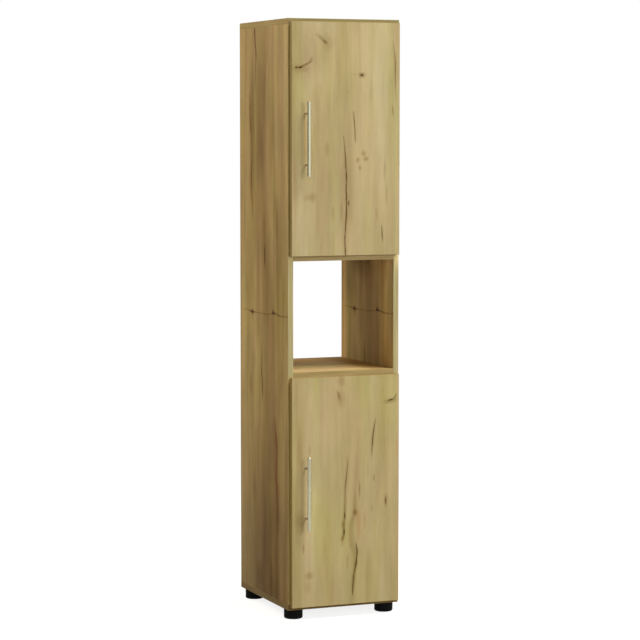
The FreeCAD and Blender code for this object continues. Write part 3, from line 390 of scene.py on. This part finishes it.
def wood(name, node, along, across, thick, seed=0.0, print_side="low", lines=(), waves=(), spots=(),
         tones=(), face_light=(), shade=(1, 1, 1), band_shade=(1, 1, 1), end_shade=None,
         gap_shade=(), lit_below_door=(), base=None, shade_fall=None, contrast=1.0):
    """Printed oak decor on chipboard with banded edges, with painted light and shade laid over it where the arguments
    ask.
    print_side says which broad face shows the lines and spots as given; the
    other face shows them turned by 180 degrees."""
    t = Tree(name)
    c = t.coord()
    lo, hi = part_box(node)
    i = {"x": 0, "y": 1, "z": 2}
    uc, uh = (lo[i[across]] + hi[i[across]]) / 2, (hi[i[across]] - lo[i[across]]) / 2
    vc, vh = (lo[i[along]] + hi[i[along]]) / 2, (hi[i[along]] - lo[i[along]]) / 2
    wc, wh = (lo[i[thick]] + hi[i[thick]]) / 2, (hi[i[thick]] - lo[i[thick]]) / 2
    u0, v0, w0 = c[AX[across]], c[AX[along]], c[AX[thick]]
    du, dv, dw = t.m("SUBTRACT", u0, uc), t.m("SUBTRACT", v0, vc), t.m("SUBTRACT", w0, wc)
    # which face: +1 on the print side, -1 on the other
    sgn = t.span(dw, -0.0005, 0.0005, 1.0, -1.0) if print_side == "low" else t.span(dw, -0.0005, 0.0005, -1.0, 1.0)
    u = t.m("MULTIPLY_ADD", du, sgn, uc)
    v = t.m("MULTIPLY_ADD", dv, sgn, vc)
    w = t.m("MULTIPLY", sgn, 0.37)
    s = seed * 3.17

    # grain runs in slow waves
    wave = t.noise(t.xyz(t.m("MULTIPLY", u, 5.0), t.m("MULTIPLY", v, 1.6), t.m("ADD", w, s)), detail=2.0)
    uw = t.m("MULTIPLY_ADD", t.m("SUBTRACT", wave, 0.5), 0.045, u)
    vec = lambda fu, fv, o: t.xyz(t.m("MULTIPLY", uw, fu), t.m("MULTIPLY", v, fv), t.m("ADD", w, s + o))
    broad = t.noise(vec(17.0, 1.5, 0.0), detail=2.5, rough=0.55)
    hue = t.noise(vec(13.0, 2.1, 11.3), detail=2.0, rough=0.5)
    stripe = t.noise(vec(70.0, 3.4, 5.1), detail=3.0, rough=0.6)
    fine = t.noise(vec(430.0, 9.0, 2.2), detail=3.0, rough=0.65)
    pore = t.noise(vec(1500.0, 42.0, 7.9), detail=1.0)
    # tone
    broad = t.span(broad, 0.5 - 0.22 / contrast, 0.5 + 0.22 / contrast, 0.28, 0.72)
    col = t.ramp(broad, [(0.28, (0.448, 0.340, 0.165)), (0.45, (0.520, 0.405, 0.204)), (0.58, (0.556, 0.440, 0.232)), (0.74, (0.610, 0.495, 0.280))])
    if base:
        col = t.mix(1.0, col, base, "MULTIPLY")
    col = t.mix(t.span(hue, 0.50, 0.72), col, PINK, "MULTIPLY")
    col = t.mix(t.span(hue, 0.48, 0.30), col, GREEN, "MULTIPLY")
    k = contrast
    col = t.mix(1.0, col, t.span(stripe, 0.25, 0.75, 1 - 0.055 * k, 1 + 0.045 * k), "MULTIPLY")
    col = t.mix(1.0, col, t.span(fine, 0.2, 0.8, 1 - 0.055, 1 + 0.045), "MULTIPLY")
    mottle = t.noise(vec(13.0, 5.5, 31.0), detail=2.0, rough=0.5)
    col = t.mix(1.0, col, t.span(mottle, 0.3, 0.7, 1 - 0.06 * k, 1 + 0.05 * k), "MULTIPLY")
    streak = t.noise(vec(38.0, 1.1, 17.0), detail=2.0, rough=0.5)
    col = t.mix(t.span(streak, 0.58, 0.72, 0.0, 0.40, soft=True), col, (0.84, 0.78, 0.66), "MULTIPLY")
    poremask = t.m("MULTIPLY", t.span(pore, 0.60, 0.70), t.span(fine, 0.62, 0.40))
    col = t.mix(t.m("MULTIPLY", poremask, 0.34), col, (0.55, 0.44, 0.32), "MULTIPLY")
    # painted shade: the board darker towards its lower end, and a little towards its upper end
    if shade_fall:
        col = t.mix(1.0, col, t.curve(t.span(v, vc - vh, vc + vh), shade_fall), "MULTIPLY")
    # listed figure
    fray_n = t.noise(vec(260.0, 60.0, 1.7), detail=2.0, colour=True)
    fray = t.vm("MULTIPLY", t.vm("SUBTRACT", fray_n, (0.5, 0.5, 0.5)), (0.9, 0.9, 0.0))
    rough_edge = t.m("MULTIPLY", t.m("SUBTRACT", t.noise(vec(120.0, 40.0, 9.4), detail=3.0, rough=0.7), 0.5), 0.0019)
    plane = t.xyz(u, v, 0.0)
    # cracks open and close along their length
    patchy = t.span(t.noise(t.xyz(t.m("MULTIPLY", u, 90.0), t.m("MULTIPLY", v, 34.0), s + 41.0), detail=2.5, rough=0.6), 0.30, 0.48, 0.50, 1.0, soft=True)
    deep = None
    # the tones are print, and on some boards also painted light and shade
    for tint, pts in tones:
        col = t.mix(t.line_mask(v, u, pts), col, tint, "MULTIPLY")
    for tint, pts in face_light:
        # painted light, only on the print side
        col = t.mix(t.m("MULTIPLY", t.line_mask(v, u, pts), t.span(sgn, 0.0, 1.0)), col, tint, "MULTIPLY")
    for tint, strength, group in spots:
        for sp in group:
            sp = (sp[0], sp[1], sp[2] * 1.2, sp[3] * 1.2, sp[4], min(1.0, sp[5] * strength))
            mk = t.spot_mask(plane, sp, fray)
            col = t.mix(mk, col, tint, "MULTIPLY")
            if tint in (KNOT,):
                deep = mk if deep is None else t.m("MAXIMUM", deep, mk)
    for tint, strength, group in lines:
        for pts in group:
            pts = [(p[0], p[1], p[2] * 1.75, min(1.0, p[3] * strength)) for p in pts]
            halo = t.line_mask(v, u, [(p[0], p[1], p[2] * 3.2, p[3] * 0.30) for p in pts], rough_edge)
            col = t.mix(halo, col, SOFT, "MULTIPLY")
            mk = t.m("MULTIPLY", t.line_mask(v, u, pts, rough_edge), patchy)
            col = t.mix(mk, col, tint, "MULTIPLY")
            if tint in (CRACK,):
                deep = mk if deep is None else t.m("MAXIMUM", deep, mk)
    for tint, pts in waves:
        # a line across the grain: (across, along, half height, strength)
        mk = t.line_mask(u, v, pts, rough_edge)
        col = t.mix(mk, col, tint, "MULTIPLY")
        deep = mk if deep is None else t.m("MAXIMUM", deep, mk)
    if shade != (1, 1, 1):
        col = t.mix(1.0, col, shade, "MULTIPLY")

    # edge banding: its own print, grain along the strip
    eu = t.m("SUBTRACT", t.m("ABSOLUTE", du), uh - BAND)
    ev = t.m("SUBTRACT", t.m("ABSOLUTE", dv), vh - BAND)
    edge_u, edge_v = t.span(eu, 0.0, 0.00006), t.span(ev, 0.0, 0.00006)
    bu = t.noise(t.xyz(t.m("MULTIPLY", w0, 160.0), t.m("MULTIPLY", v0, 6.0), s + 21.0), detail=3.0, rough=0.6)
    bv = t.noise(t.xyz(t.m("MULTIPLY", w0, 160.0), t.m("MULTIPLY", u0, 6.0), s + 27.0), detail=3.0, rough=0.6)
    bf = t.mixf(edge_v, bu, bv)
    band = t.ramp(bf, [(0.30, (0.400, 0.325, 0.150)), (0.50, (0.470, 0.390, 0.190)), (0.70, (0.545, 0.455, 0.240))])
    if band_shade != (1, 1, 1):
        band = t.mix(1.0, band, band_shade, "MULTIPLY")
    if end_shade:
        band = t.mix(edge_v, band, end_shade, "MULTIPLY")
    for z0, z1, tint in gap_shade:
        # painted warm shade: the stretch of banding that lies behind a door is browner
        k = t.m("MULTIPLY", t.span(v0, z0 - 0.001, z0 + 0.001), t.span(v0, z1 - 0.001, z1 + 0.001, 1.0, 0.0))
        band = t.mix(k, band, tint, "MULTIPLY")
    # painted light: the banding grows lighter just below a door, where the door's shadow lies
    for z0, z1, tint in lit_below_door:
        k = t.m("MULTIPLY", t.span(v0, z0, z1, soft=True), t.span(v0, z1 - 0.001, z1 + 0.001, 1.0, 0.0))
        band = t.mix(k, band, tint, "MULTIPLY")
    edge = t.m("MAXIMUM", edge_u, edge_v)
    col = t.mix(edge, col, band)
    # thin glue line where banding meets face
    seam = t.m("MAXIMUM", eu, ev)
    seam = t.m("MULTIPLY", t.span(seam, -0.00022, -0.00004), t.span(seam, 0.00012, 0.0))
    col = t.mix(t.m("MULTIPLY", seam, 0.5), col, (0.55, 0.47, 0.36), "MULTIPLY")

    # chipboard core in bores and rebates
    ew = t.span(t.m("SUBTRACT", t.m("ABSOLUTE", dw), wh - FACE_SKIN), -0.0001, 0.0)
    core = t.m("MULTIPLY", t.m("SUBTRACT", 1.0, edge), t.m("SUBTRACT", 1.0, ew))
    chips = t.voronoi(t.vm("MULTIPLY", c[0], (1.0, 1.0, 1.0)), 620.0)
    chipc = t.ramp(chips.outputs["Distance"], [(0.0, (0.62, 0.47, 0.30)), (0.5, (0.46, 0.33, 0.19)), (0.9, (0.24, 0.16, 0.09))])
    col = t.mix(core, col, chipc)

    # relief: pores and cracks sink, the core is crumbly
    h = t.m("MULTIPLY", poremask, -0.35)
    h = t.m("MULTIPLY_ADD", fine, 0.25, h)
    if deep is not None:
        h = t.m("MULTIPLY_ADD", deep, -0.9, h)
    h = t.m("MULTIPLY_ADD", t.m("MULTIPLY", core, chips.outputs["Distance"]), -3.0, h)
    h = t.m("MULTIPLY_ADD", seam, -0.8, h)
    nrm = t.bump(h, 0.00012)
    rough = t.span(fine, 0.2, 0.8, 0.50, 0.40)
    rough = t.m("MULTIPLY_ADD", poremask, 0.10, rough)
    rough = t.m("MULTIPLY_ADD", core, 0.35, rough)
    return t.finish(col, rough, nrm, Specular_IOR_Level=0.05)


def paint(material, *names):
    for n in names:
        o = NODES[n]
        o.data.materials.clear()
        o.data.materials.append(material)
        for s in o.material_slots:
            s.material = material


# soft shade around the knots near the handle side
UP_X = [(-0.150, 1.745, 0.050, 0.040, 0.0, 0.16), (-0.100, 1.800, 0.050, 0.060, 0.0, 0.20), (-0.060, 1.822, 0.020, 0.022, 0.0, 0.20),
        (-0.172, 1.60, 0.012, 0.30, 0.0, 0.14)]

# ---- boards ------------------------------------------------------------------------
UP_FIG = dict(lines=[(CRACK, 1.8, UP_LINES[0:2] + UP_LINES[4:]), (CRACK, 0.95, UP_LINES[2:4])], tones=UP_TONE,
              spots=[(SOFT, 1.05, UP_S + UP_X), (BROWN, 1.25, UP_M), (KNOT, 1.2, UP_D)])
LO_FIG = dict(lines=[(CRACK, 1.6, LO_LINES[0:1] + LO_LINES[2:]), (CRACK, 0.95, LO_LINES[1:2])], tones=LO_TONE,
              spots=[(SOFT, 1.05, LO_S), (BROWN, 1.25, LO_M), (KNOT, 1.2, LO_D)])
SIDE_FIG = dict(lines=[(CRACK, 1.9, SI_LINES), (RED, 1.6, SI_RED)], tones=SI_TONE,
                waves=[(STAIN, [(q[0], q[1], q[2] * 2.6, min(1.0, q[3] * 1.15)) for q in SI_WAVE])], spots=[(SOFT, 1.15, SI_S), (STAIN, 1.2, [(q[0], q[1], q[2] * 2.3, q[3] * 1.5, q[4], q[5]) for q in SI_D])])
paint(wood("decor_upper_door", "upper_door_panel", "z", "x", "y", 1.0, "low", base=(0.960, 0.985, 0.985), band_shade=(0.70, 0.60, 0.46), **UP_FIG), "upper_door_panel")
paint(wood("decor_lower_door", "lower_door_panel", "z", "x", "y", 2.0, "low", base=(0.970, 0.985, 0.935), band_shade=(0.72, 0.58, 0.40), **LO_FIG), "lower_door_panel")
SIDE_BASE = (0.885, 0.790, 0.590)
# painted shade on the sides: darker towards the bottom
SIDE_SHADE_FALL = [(0.0, 0.78), (0.12, 0.82), (0.25, 0.94), (0.45, 1.0), (0.65, 0.96), (1.0, 0.94)]
SIDE_EDGE = (1.03, 1.07, 1.10)
UZ, LZ = [b[2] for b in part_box("upper_door_panel")], [b[2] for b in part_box("lower_door_panel")]
# painted warm shade on the sides' front-edge banding behind each door
SIDE_GAP_SHADE = [(UZ[0], UZ[1], (1.24, 1.13, 0.88)), (LZ[0], LZ[1], (1.20, 1.07, 0.80))]
# painted light on the sides' front-edge banding just below the upper door
SIDE_LIT_BELOW_DOOR = [(UZ[0] - 0.065, UZ[0], (1.55, 1.48, 1.42))]
# painted light on the right side's inner face: lighter toward the niche's front and back openings
NICHE_LIT = [(BRIGHT, [(1.150, -0.130, 0.080, 0.0), (1.120, -0.130, 0.085, 1.0), (0.95, -0.130, 0.080, 0.65), (0.80, -0.130, 0.075, 0.35), (0.77, -0.13, 0.07, 0.0)]),
             (LIT, [(1.150, 0.225, 0.040, 0.0), (1.120, 0.225, 0.040, 1.0), (0.80, 0.225, 0.040, 0.9), (0.77, 0.225, 0.040, 0.0)]),
             ((1.40, 1.62, 2.20), [(1.160, -0.142, 0.085, 1.0), (1.090, -0.142, 0.085, 1.0), (1.048, -0.142, 0.085, 0.9), (1.0, -0.142, 0.085, 0.6), (0.91, -0.142, 0.085, 0.25), (0.86, -0.142, 0.085, 0.1), (0.80, -0.142, 0.085, 0.0)]),
             ((1.72, 1.88, 2.25), [(1.160, -0.035, 0.088, 1.0), (1.090, -0.035, 0.088, 0.95), (1.048, -0.035, 0.088, 0.55), (1.0, -0.035, 0.088, 0.28), (0.93, -0.035, 0.088, 0.08), (0.88, -0.035, 0.088, 0.0)]),
             ((1.26, 1.30, 1.32), [(1.03, 0.17, 0.11, 0.0), (0.96, 0.17, 0.11, 0.5), (0.91, 0.17, 0.11, 0.85), (0.80, 0.17, 0.11, 1.0), (0.77, 0.17, 0.11, 0.0)])]
RIGHT_FIG = dict(SIDE_FIG, face_light=NICHE_LIT)
paint(wood("decor_painted_light_shade_side_left", "side_panel_left", "z", "y", "x", 3.0, "low", band_shade=SIDE_EDGE, gap_shade=SIDE_GAP_SHADE, lit_below_door=SIDE_LIT_BELOW_DOOR, base=SIDE_BASE, shade_fall=SIDE_SHADE_FALL, contrast=1.6, **SIDE_FIG), "side_panel_left")
paint(wood("decor_painted_light_shade_side_right", "side_panel_right", "z", "y", "x", 3.0, "low", band_shade=SIDE_EDGE, gap_shade=SIDE_GAP_SHADE, lit_below_door=SIDE_LIT_BELOW_DOOR, base=SIDE_BASE, shade_fall=SIDE_SHADE_FALL, contrast=1.6, **RIGHT_FIG), "side_panel_right")
paint(wood("decor_top", "top_panel", "x", "y", "z", 4.0, "high", band_shade=(0.66, 0.66, 0.56), end_shade=(1.30, 1.15, 1.02)), "top_panel")
# painted shade: the bottom board's edge banding is darker, down at the floor
paint(wood("decor_painted_shade_bottom", "bottom_panel", "x", "y", "z", 5.0, "low", base=(0.93, 0.86, 0.74), band_shade=(0.56, 0.46, 0.36)), "bottom_panel")
# painted light: the niche ceiling's edge banding is lighter, against the upper door's shadow on its front edge
paint(wood("decor_painted_light_niche_ceiling", "niche_ceiling_panel", "x", "y", "z", 6.0, "low", base=(0.95, 0.90, 0.8), band_shade=(1.22, 1.12, 1.08)), "niche_ceiling_panel")
# painted light over the back part of the niche floor, painted shade towards its right end
paint(wood("decor_painted_light_shade_niche_floor", "niche_floor_panel", "x", "y", "z", 7.0, "high", base=(1.16, 1.07, 0.90), tones=[(LIT, [(-0.19, 0.18, 0.19, 1.0), (0.05, 0.18, 0.19, 0.95), (0.17, 0.18, 0.19, 0.25)]),
            ((0.60, 0.45, 0.31), [(0.04, 0.0, 0.34, 0.0), (0.085, 0.0, 0.34, 0.35), (0.13, 0.0, 0.34, 1.0), (0.19, 0.0, 0.34, 1.0)])], band_shade=(0.87, 0.79, 0.69)), "niche_floor_panel")
paint(wood("decor_rail", "back_rail", "x", "z", "y", 8.0, "low"), "back_rail")
for k, n in enumerate(("upper_shelf_low", "upper_shelf_high", "lower_shelf_low", "lower_shelf_high")):
    paint(wood("decor_" + n, n, "x", "y", "z", 9.0 + k, "high"), n)


# ---- hardboard backs: printed on the inside, bare fibre behind -------------------------
def hardboard(name, node, seed):
    t = Tree(name)
    P, x, y, z = t.coord()
    lo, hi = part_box(node)
    behind = t.span(y, hi[1] - 0.0013, hi[1] - 0.0011)
    fib = t.noise(t.vm("MULTIPLY", P, (1.0, 1.0, 1.0)), 900.0, 4.0, 0.7)
    blot = t.noise(P, 22.0, 3.0)
    mesh = t.m("MULTIPLY", t.m("SINE", t.m("MULTIPLY", x, 2400.0)), t.m("SINE", t.m("MULTIPLY", z, 2400.0)))
    raw = t.ramp(fib, [(0.30, (0.150, 0.083, 0.038)), (0.52, (0.262, 0.155, 0.076)), (0.75, (0.400, 0.262, 0.140))])
    raw = t.mix(1.0, raw, t.span(blot, 0.3, 0.7, 0.86, 1.10), "MULTIPLY")
    raw = t.mix(1.0, raw, t.span(mesh, -1, 1, 0.93, 1.04), "MULTIPLY")
    wv = t.xyz(t.m("MULTIPLY", x, 30.0), t.m("MULTIPLY", z, 1.8), seed)
    fig = t.noise(wv, 1.0, 4.0, 0.6, 0.4)
    fin = t.noise(t.xyz(t.m("MULTIPLY", x, 380.0), t.m("MULTIPLY", z, 8.0), seed + 3), 1.0, 3.0, 0.6)
    pr = t.ramp(fig, [(0.30, (0.430, 0.325, 0.160)), (0.5, (0.515, 0.400, 0.205)), (0.7, (0.585, 0.470, 0.262))])
    pr = t.mix(1.0, pr, t.span(fin, 0.2, 0.8, 0.90, 1.07), "MULTIPLY")
    col = t.mix(behind, pr, raw)
    h = t.m("MULTIPLY_ADD", fib, 0.5, t.m("MULTIPLY", t.m("MULTIPLY", mesh, behind), 0.6))
    return t.finish(col, t.mixf(behind, 0.5, 0.82), t.bump(h, 0.00012), Specular_IOR_Level=0.3)


paint(hardboard("hardboard_upper", "upper_back_panel", 2.0), "upper_back_panel")
paint(hardboard("hardboard_lower", "lower_back_panel", 9.0), "lower_back_panel")


# ---- metals ------------------------------------------------------------------------------
def metal(name, colour, rough, grain=(900, 900, 900), streak=(1, 1, 1), depth=0.00002, tarnish=0.10, ani=0.0):
    t = Tree(name)
    P = t.coord()[0]
    fine = t.noise(t.vm("MULTIPLY", P, grain), 1.0, 3.0, 0.6)
    wide = t.noise(t.vm("MULTIPLY", P, streak), 35.0, 3.0, 0.55)
    dark = tuple(v * (1 - tarnish) for v in colour)
    lite = tuple(min(1.0, v * (1 + tarnish * 0.5)) for v in colour)
    col = t.mix(t.span(wide, 0.3, 0.7), dark, lite)
    col = t.mix(1.0, col, t.span(fine, 0.2, 0.8, 0.94, 1.04), "MULTIPLY")
    r = t.span(fine, 0.2, 0.8, rough * 0.8, rough * 1.2)
    r = t.m("MULTIPLY_ADD", t.span(wide, 0.4, 0.8), rough * 0.25, r)
    return t.finish(col, r, t.bump(fine, depth), Metallic=1.0)


brushed = metal("brushed_nickel", (0.69, 0.667, 0.480), 0.26, grain=(2600, 2600, 60), streak=(1, 1, 0.15), depth=0.000004)
paint(brushed, "upper_handle_bar", "lower_handle_bar")
paint(metal("handle_post_metal", (0.50, 0.48, 0.43), 0.34, grain=(2600, 120, 2600)), "upper_handle_posts", "lower_handle_posts")
# a choice of look, not physics: the posts' shadow streaks on the doors are switched off
for n in ("upper_handle_posts", "lower_handle_posts"):
    NODES[n].visible_shadow = False
nickel = metal("nickel_plate", (0.70, 0.70, 0.68), 0.24, grain=(1800, 1800, 300), tarnish=0.08)
zinc = metal("die_cast_zinc", (0.56, 0.57, 0.58), 0.48, grain=(1500, 1500, 1500), depth=0.00006, tarnish=0.16)
plated = metal("zinc_plate", (0.64, 0.645, 0.63), 0.33, grain=(2400, 2400, 2400), tarnish=0.14)
for w in ("upper", "lower"):
    paint(nickel, *(w + k for k in ("_hinge_cups", "_hinge_pivot_pins", "_hinge_arms", "_hinge_plates")))
    paint(plated, *(w + k for k in ("_handle_screws", "_hinge_cup_screws", "_hinge_arm_screws", "_hinge_plate_screws")))
paint(zinc, "cam_lock_housings")
paint(plated, "cam_bolts", "shelf_pins", "back_panel_nails", "foot_screws")


# ---- beech dowels, feet, bumpers ------------------------------------------------------------
def beech():
    t = Tree("beech_dowel")
    P = t.coord()[0]
    a = t.noise(t.vm("MULTIPLY", P, (700, 700, 700)), 1.0, 4.0, 0.65)
    b = t.noise(P, 60.0, 2.0)
    col = t.ramp(a, [(0.3, (0.50, 0.33, 0.18)), (0.55, (0.66, 0.47, 0.29)), (0.75, (0.76, 0.58, 0.38))])
    col = t.mix(1.0, col, t.span(b, 0.3, 0.7, 0.9, 1.08), "MULTIPLY")
    return t.finish(col, t.span(a, 0.2, 0.8, 0.7, 0.55), t.bump(a, 0.0001), Specular_IOR_Level=0.3)


def foot(name, node):
    t = Tree(name)
    P, x, y, z = t.coord()
    a = t.noise(P, 1400.0, 3.0, 0.6)
    cells = t.voronoi(P, 1500.0)
    scuff = t.noise(t.vm("MULTIPLY", P, (1, 1, 5)), 60.0, 4.0, 0.7)
    low = t.m("MULTIPLY", t.span(z, 0.007, 0.0005), t.span(scuff, 0.45, 0.68))
    col = t.mix(t.span(a, 0.3, 0.7), (0.0035, 0.0038, 0.0038), (0.0065, 0.0070, 0.0070))
    col = t.mix(t.m("MULTIPLY", low, 0.5), col, (0.085, 0.083, 0.078))
    part = t.span(t.m("ABSOLUTE", t.m("SUBTRACT", z, 0.0262)), 0.0, 0.00035, 1.0, 0.0)
    h = t.m("MULTIPLY_ADD", cells.outputs["Distance"], 0.5, a)
    h = t.m("MULTIPLY_ADD", part, -2.0, h)
    r = t.m("MULTIPLY_ADD", low, 0.2, t.span(a, 0.2, 0.8, 0.50, 0.66))
    return t.finish(col, r, t.bump(h, 0.00012), Specular_IOR_Level=0.08)


def rubber():
    t = Tree("bumper_rubber")
    P = t.coord()[0]
    a = t.noise(P, 2200.0, 3.0)
    col = t.mix(t.span(a, 0.3, 0.7), (0.60, 0.60, 0.565), (0.72, 0.72, 0.69))
    return t.finish(col, t.span(a, 0.2, 0.8, 0.32, 0.46), t.bump(a, 0.00003), Transmission_Weight=0.45, IOR=1.45)


paint(beech(), "wooden_dowels")
for n in ("foot_front_left", "foot_front_right", "foot_back_left", "foot_back_right"):
    paint(foot("plastic_" + n, n), n)
paint(rubber(), "door_bumpers")


# ---- camera -------------------------------------------------------------------------------------
cam_data = bpy.data.cameras.new("camera")
cam = bpy.data.objects.new("camera", cam_data)
bpy.context.scene.collection.objects.link(cam)
cam_data.sensor_width = 36.0
cam_data.lens = 133.58
cam_data.clip_start, cam_data.clip_end = 0.05, 100.0
cam.location = (-2.89816, -7.11171, 1.55288)
cam.rotation_euler = (math.radians(90.0 - 4.57817), 0.0, math.radians(-22.1367))
bpy.context.scene.camera = cam
bpy.context.scene.view_settings.view_transform = "Standard"
bpy.context.scene.view_settings.look = "None"


KEY_W, FILL_W, FRONT_W, RIM_W, AMBIENT = 930.0, 35.0, 96.0, 20.0, 0.28


# ---- studio ----------------------------------------------------------------------------------------
def studio():
    world = bpy.data.worlds.new("studio")
    bpy.context.scene.world = world
    world.use_nodes = True
    nt = world.node_tree
    nt.nodes.clear()
    out = nt.nodes.new("ShaderNodeOutputWorld")
    tc = nt.nodes.new("ShaderNodeTexCoord")
    dot = nt.nodes.new("ShaderNodeVectorMath")
    dot.operation = "DOT_PRODUCT"
    dot.inputs[1].default_value = (0.42, -0.30, 0.86)
    nt.links.new(tc.outputs["Generated"], dot.inputs[0])
    rng = nt.nodes.new("ShaderNodeMapRange")
    nt.links.new(dot.outputs["Value"], rng.inputs[0])
    for i, x in enumerate((-1.0, 1.0, 0.36 * AMBIENT, 1.30 * AMBIENT)):
        rng.inputs[i + 1].default_value = x
    amb = nt.nodes.new("ShaderNodeBackground")
    nt.links.new(rng.outputs[0], amb.inputs["Strength"])
    amb.inputs["Color"].default_value = (1.0, 0.985, 0.955, 1)
    gloss = nt.nodes.new("ShaderNodeBackground")
    gloss.inputs["Color"].default_value = (1, 0.99, 0.97, 1)
    face = nt.nodes.new("ShaderNodeVectorMath")
    face.operation = "DOT_PRODUCT"
    face.inputs[1].default_value = (0.22, -0.97, 0.10)
    nt.links.new(tc.outputs["Generated"], face.inputs[0])
    glint = nt.nodes.new("ShaderNodeMapRange")
    nt.links.new(face.outputs["Value"], glint.inputs[0])
    glint.interpolation_type = "SMOOTHERSTEP"
    for i, x in enumerate((0.0, 1.0, 0.20, 1.20)):
        glint.inputs[i + 1].default_value = x
    nt.links.new(glint.outputs[0], gloss.inputs["Strength"])
    white = nt.nodes.new("ShaderNodeBackground")
    white.inputs["Color"].default_value = (1, 1, 1, 1)
    white.inputs["Strength"].default_value = 1.0
    lp = nt.nodes.new("ShaderNodeLightPath")
    soft = nt.nodes.new("ShaderNodeMixShader")
    nt.links.new(lp.outputs["Is Glossy Ray"], soft.inputs[0])
    nt.links.new(amb.outputs[0], soft.inputs[1])
    nt.links.new(gloss.outputs[0], soft.inputs[2])
    mix = nt.nodes.new("ShaderNodeMixShader")
    nt.links.new(lp.outputs["Is Camera Ray"], mix.inputs[0])
    nt.links.new(soft.outputs[0], mix.inputs[1])
    nt.links.new(white.outputs[0], mix.inputs[2])
    nt.links.new(mix.outputs[0], out.inputs["Surface"])

    def area(name, loc, target, size, power, colour, glossy=True):
        d = bpy.data.lights.new(name, "AREA")
        d.shape, d.size, d.energy, d.color = "DISK", size, power, colour
        o = bpy.data.objects.new(name, d)
        bpy.context.scene.collection.objects.link(o)
        o.visible_glossy = glossy
        o.visible_camera = False
        o.location = loc
        o.rotation_euler = (Vector(target) - Vector(loc)).to_track_quat("-Z", "Y").to_euler()

    area("key", (3.25, -3.66, 9.4), (0, -0.05, 0.97), 5.0, KEY_W, (1.0, 0.985, 0.95))
    area("fill_left", (-2.6, -0.1, 3.3), (-0.19, 0, 1.2), 1.2, FILL_W, (1.0, 0.88, 0.68))
    area("front", (1.5, -5.9, 2.3), (0, -0.2, 0.9), 2.4, FRONT_W, (1.0, 0.995, 0.98), False)
    area("rim_left", (-2.2, 2.4, 1.9), (0, 0.2, 1.0), 1.0, RIM_W, (1.0, 0.95, 0.86))


def floor():
    """Plain pale floor, fading to white far away; seen from below it lets the underside show."""
    import bmesh
    bm = bmesh.new()
    bmesh.ops.create_circle(bm, cap_ends=True, segments=96, radius=14.0)
    me = bpy.data.meshes.new("studio_floor")
    bm.to_mesh(me)
    bm.free()
    o = bpy.data.objects.new("studio_floor", me)
    o.location = (0, 0, -0.0004)
    bpy.context.scene.collection.objects.link(o)
    t = Tree("studio_floor")
    P, x, y, z = t.coord()
    r = t.vm("LENGTH", P)
    n = t.noise(P, 3.0, 2.0)
    far = t.span(r, 0.9, 3.2, 0.0, 1.0, soft=True)
    nt = t.nt
    near = nt.nodes.new("ShaderNodeBsdfDiffuse")
    t.put(near.inputs["Color"], t.mix(t.span(n, 0.3, 0.7), (0.40, 0.40, 0.395), (0.42, 0.42, 0.415)))
    glow = nt.nodes.new("ShaderNodeEmission")
    glow.inputs["Color"].default_value = (1, 1, 1, 1)
    glow.inputs["Strength"].default_value = 0.84
    add = nt.nodes.new("ShaderNodeAddShader")
    nt.links.new(near.outputs[0], add.inputs[0])
    nt.links.new(glow.outputs[0], add.inputs[1])
    white = nt.nodes.new("ShaderNodeEmission")
    white.inputs["Strength"].default_value = 1.0
    seen = nt.nodes.new("ShaderNodeMixShader")
    nt.links.new(far, seen.inputs[0])
    nt.links.new(add.outputs[0], seen.inputs[1])
    nt.links.new(white.outputs[0], seen.inputs[2])
    grey = nt.nodes.new("ShaderNodeBsdfDiffuse")
    t.put(grey.inputs["Color"], (0.30, 0.285, 0.26))
    lp = nt.nodes.new("ShaderNodeLightPath")
    m1 = nt.nodes.new("ShaderNodeMixShader")
    t.put(m1.inputs[0], t.m("MAXIMUM", lp.outputs["Is Camera Ray"], t.m("MULTIPLY", lp.outputs["Is Glossy Ray"], 0.42)))
    nt.links.new(grey.outputs[0], m1.inputs[1])
    nt.links.new(seen.outputs[0], m1.inputs[2])
    geo = nt.nodes.new("ShaderNodeNewGeometry")
    clear = nt.nodes.new("ShaderNodeBsdfTransparent")
    m2 = nt.nodes.new("ShaderNodeMixShader")
    nt.links.new(geo.outputs["Backfacing"], m2.inputs[0])
    nt.links.new(m1.outputs[0], m2.inputs[1])
    nt.links.new(clear.outputs[0], m2.inputs[2])
    nt.links.new(m2.outputs[0], t.out.inputs["Surface"])
    me.materials.append(t.mat)


studio()
floor()
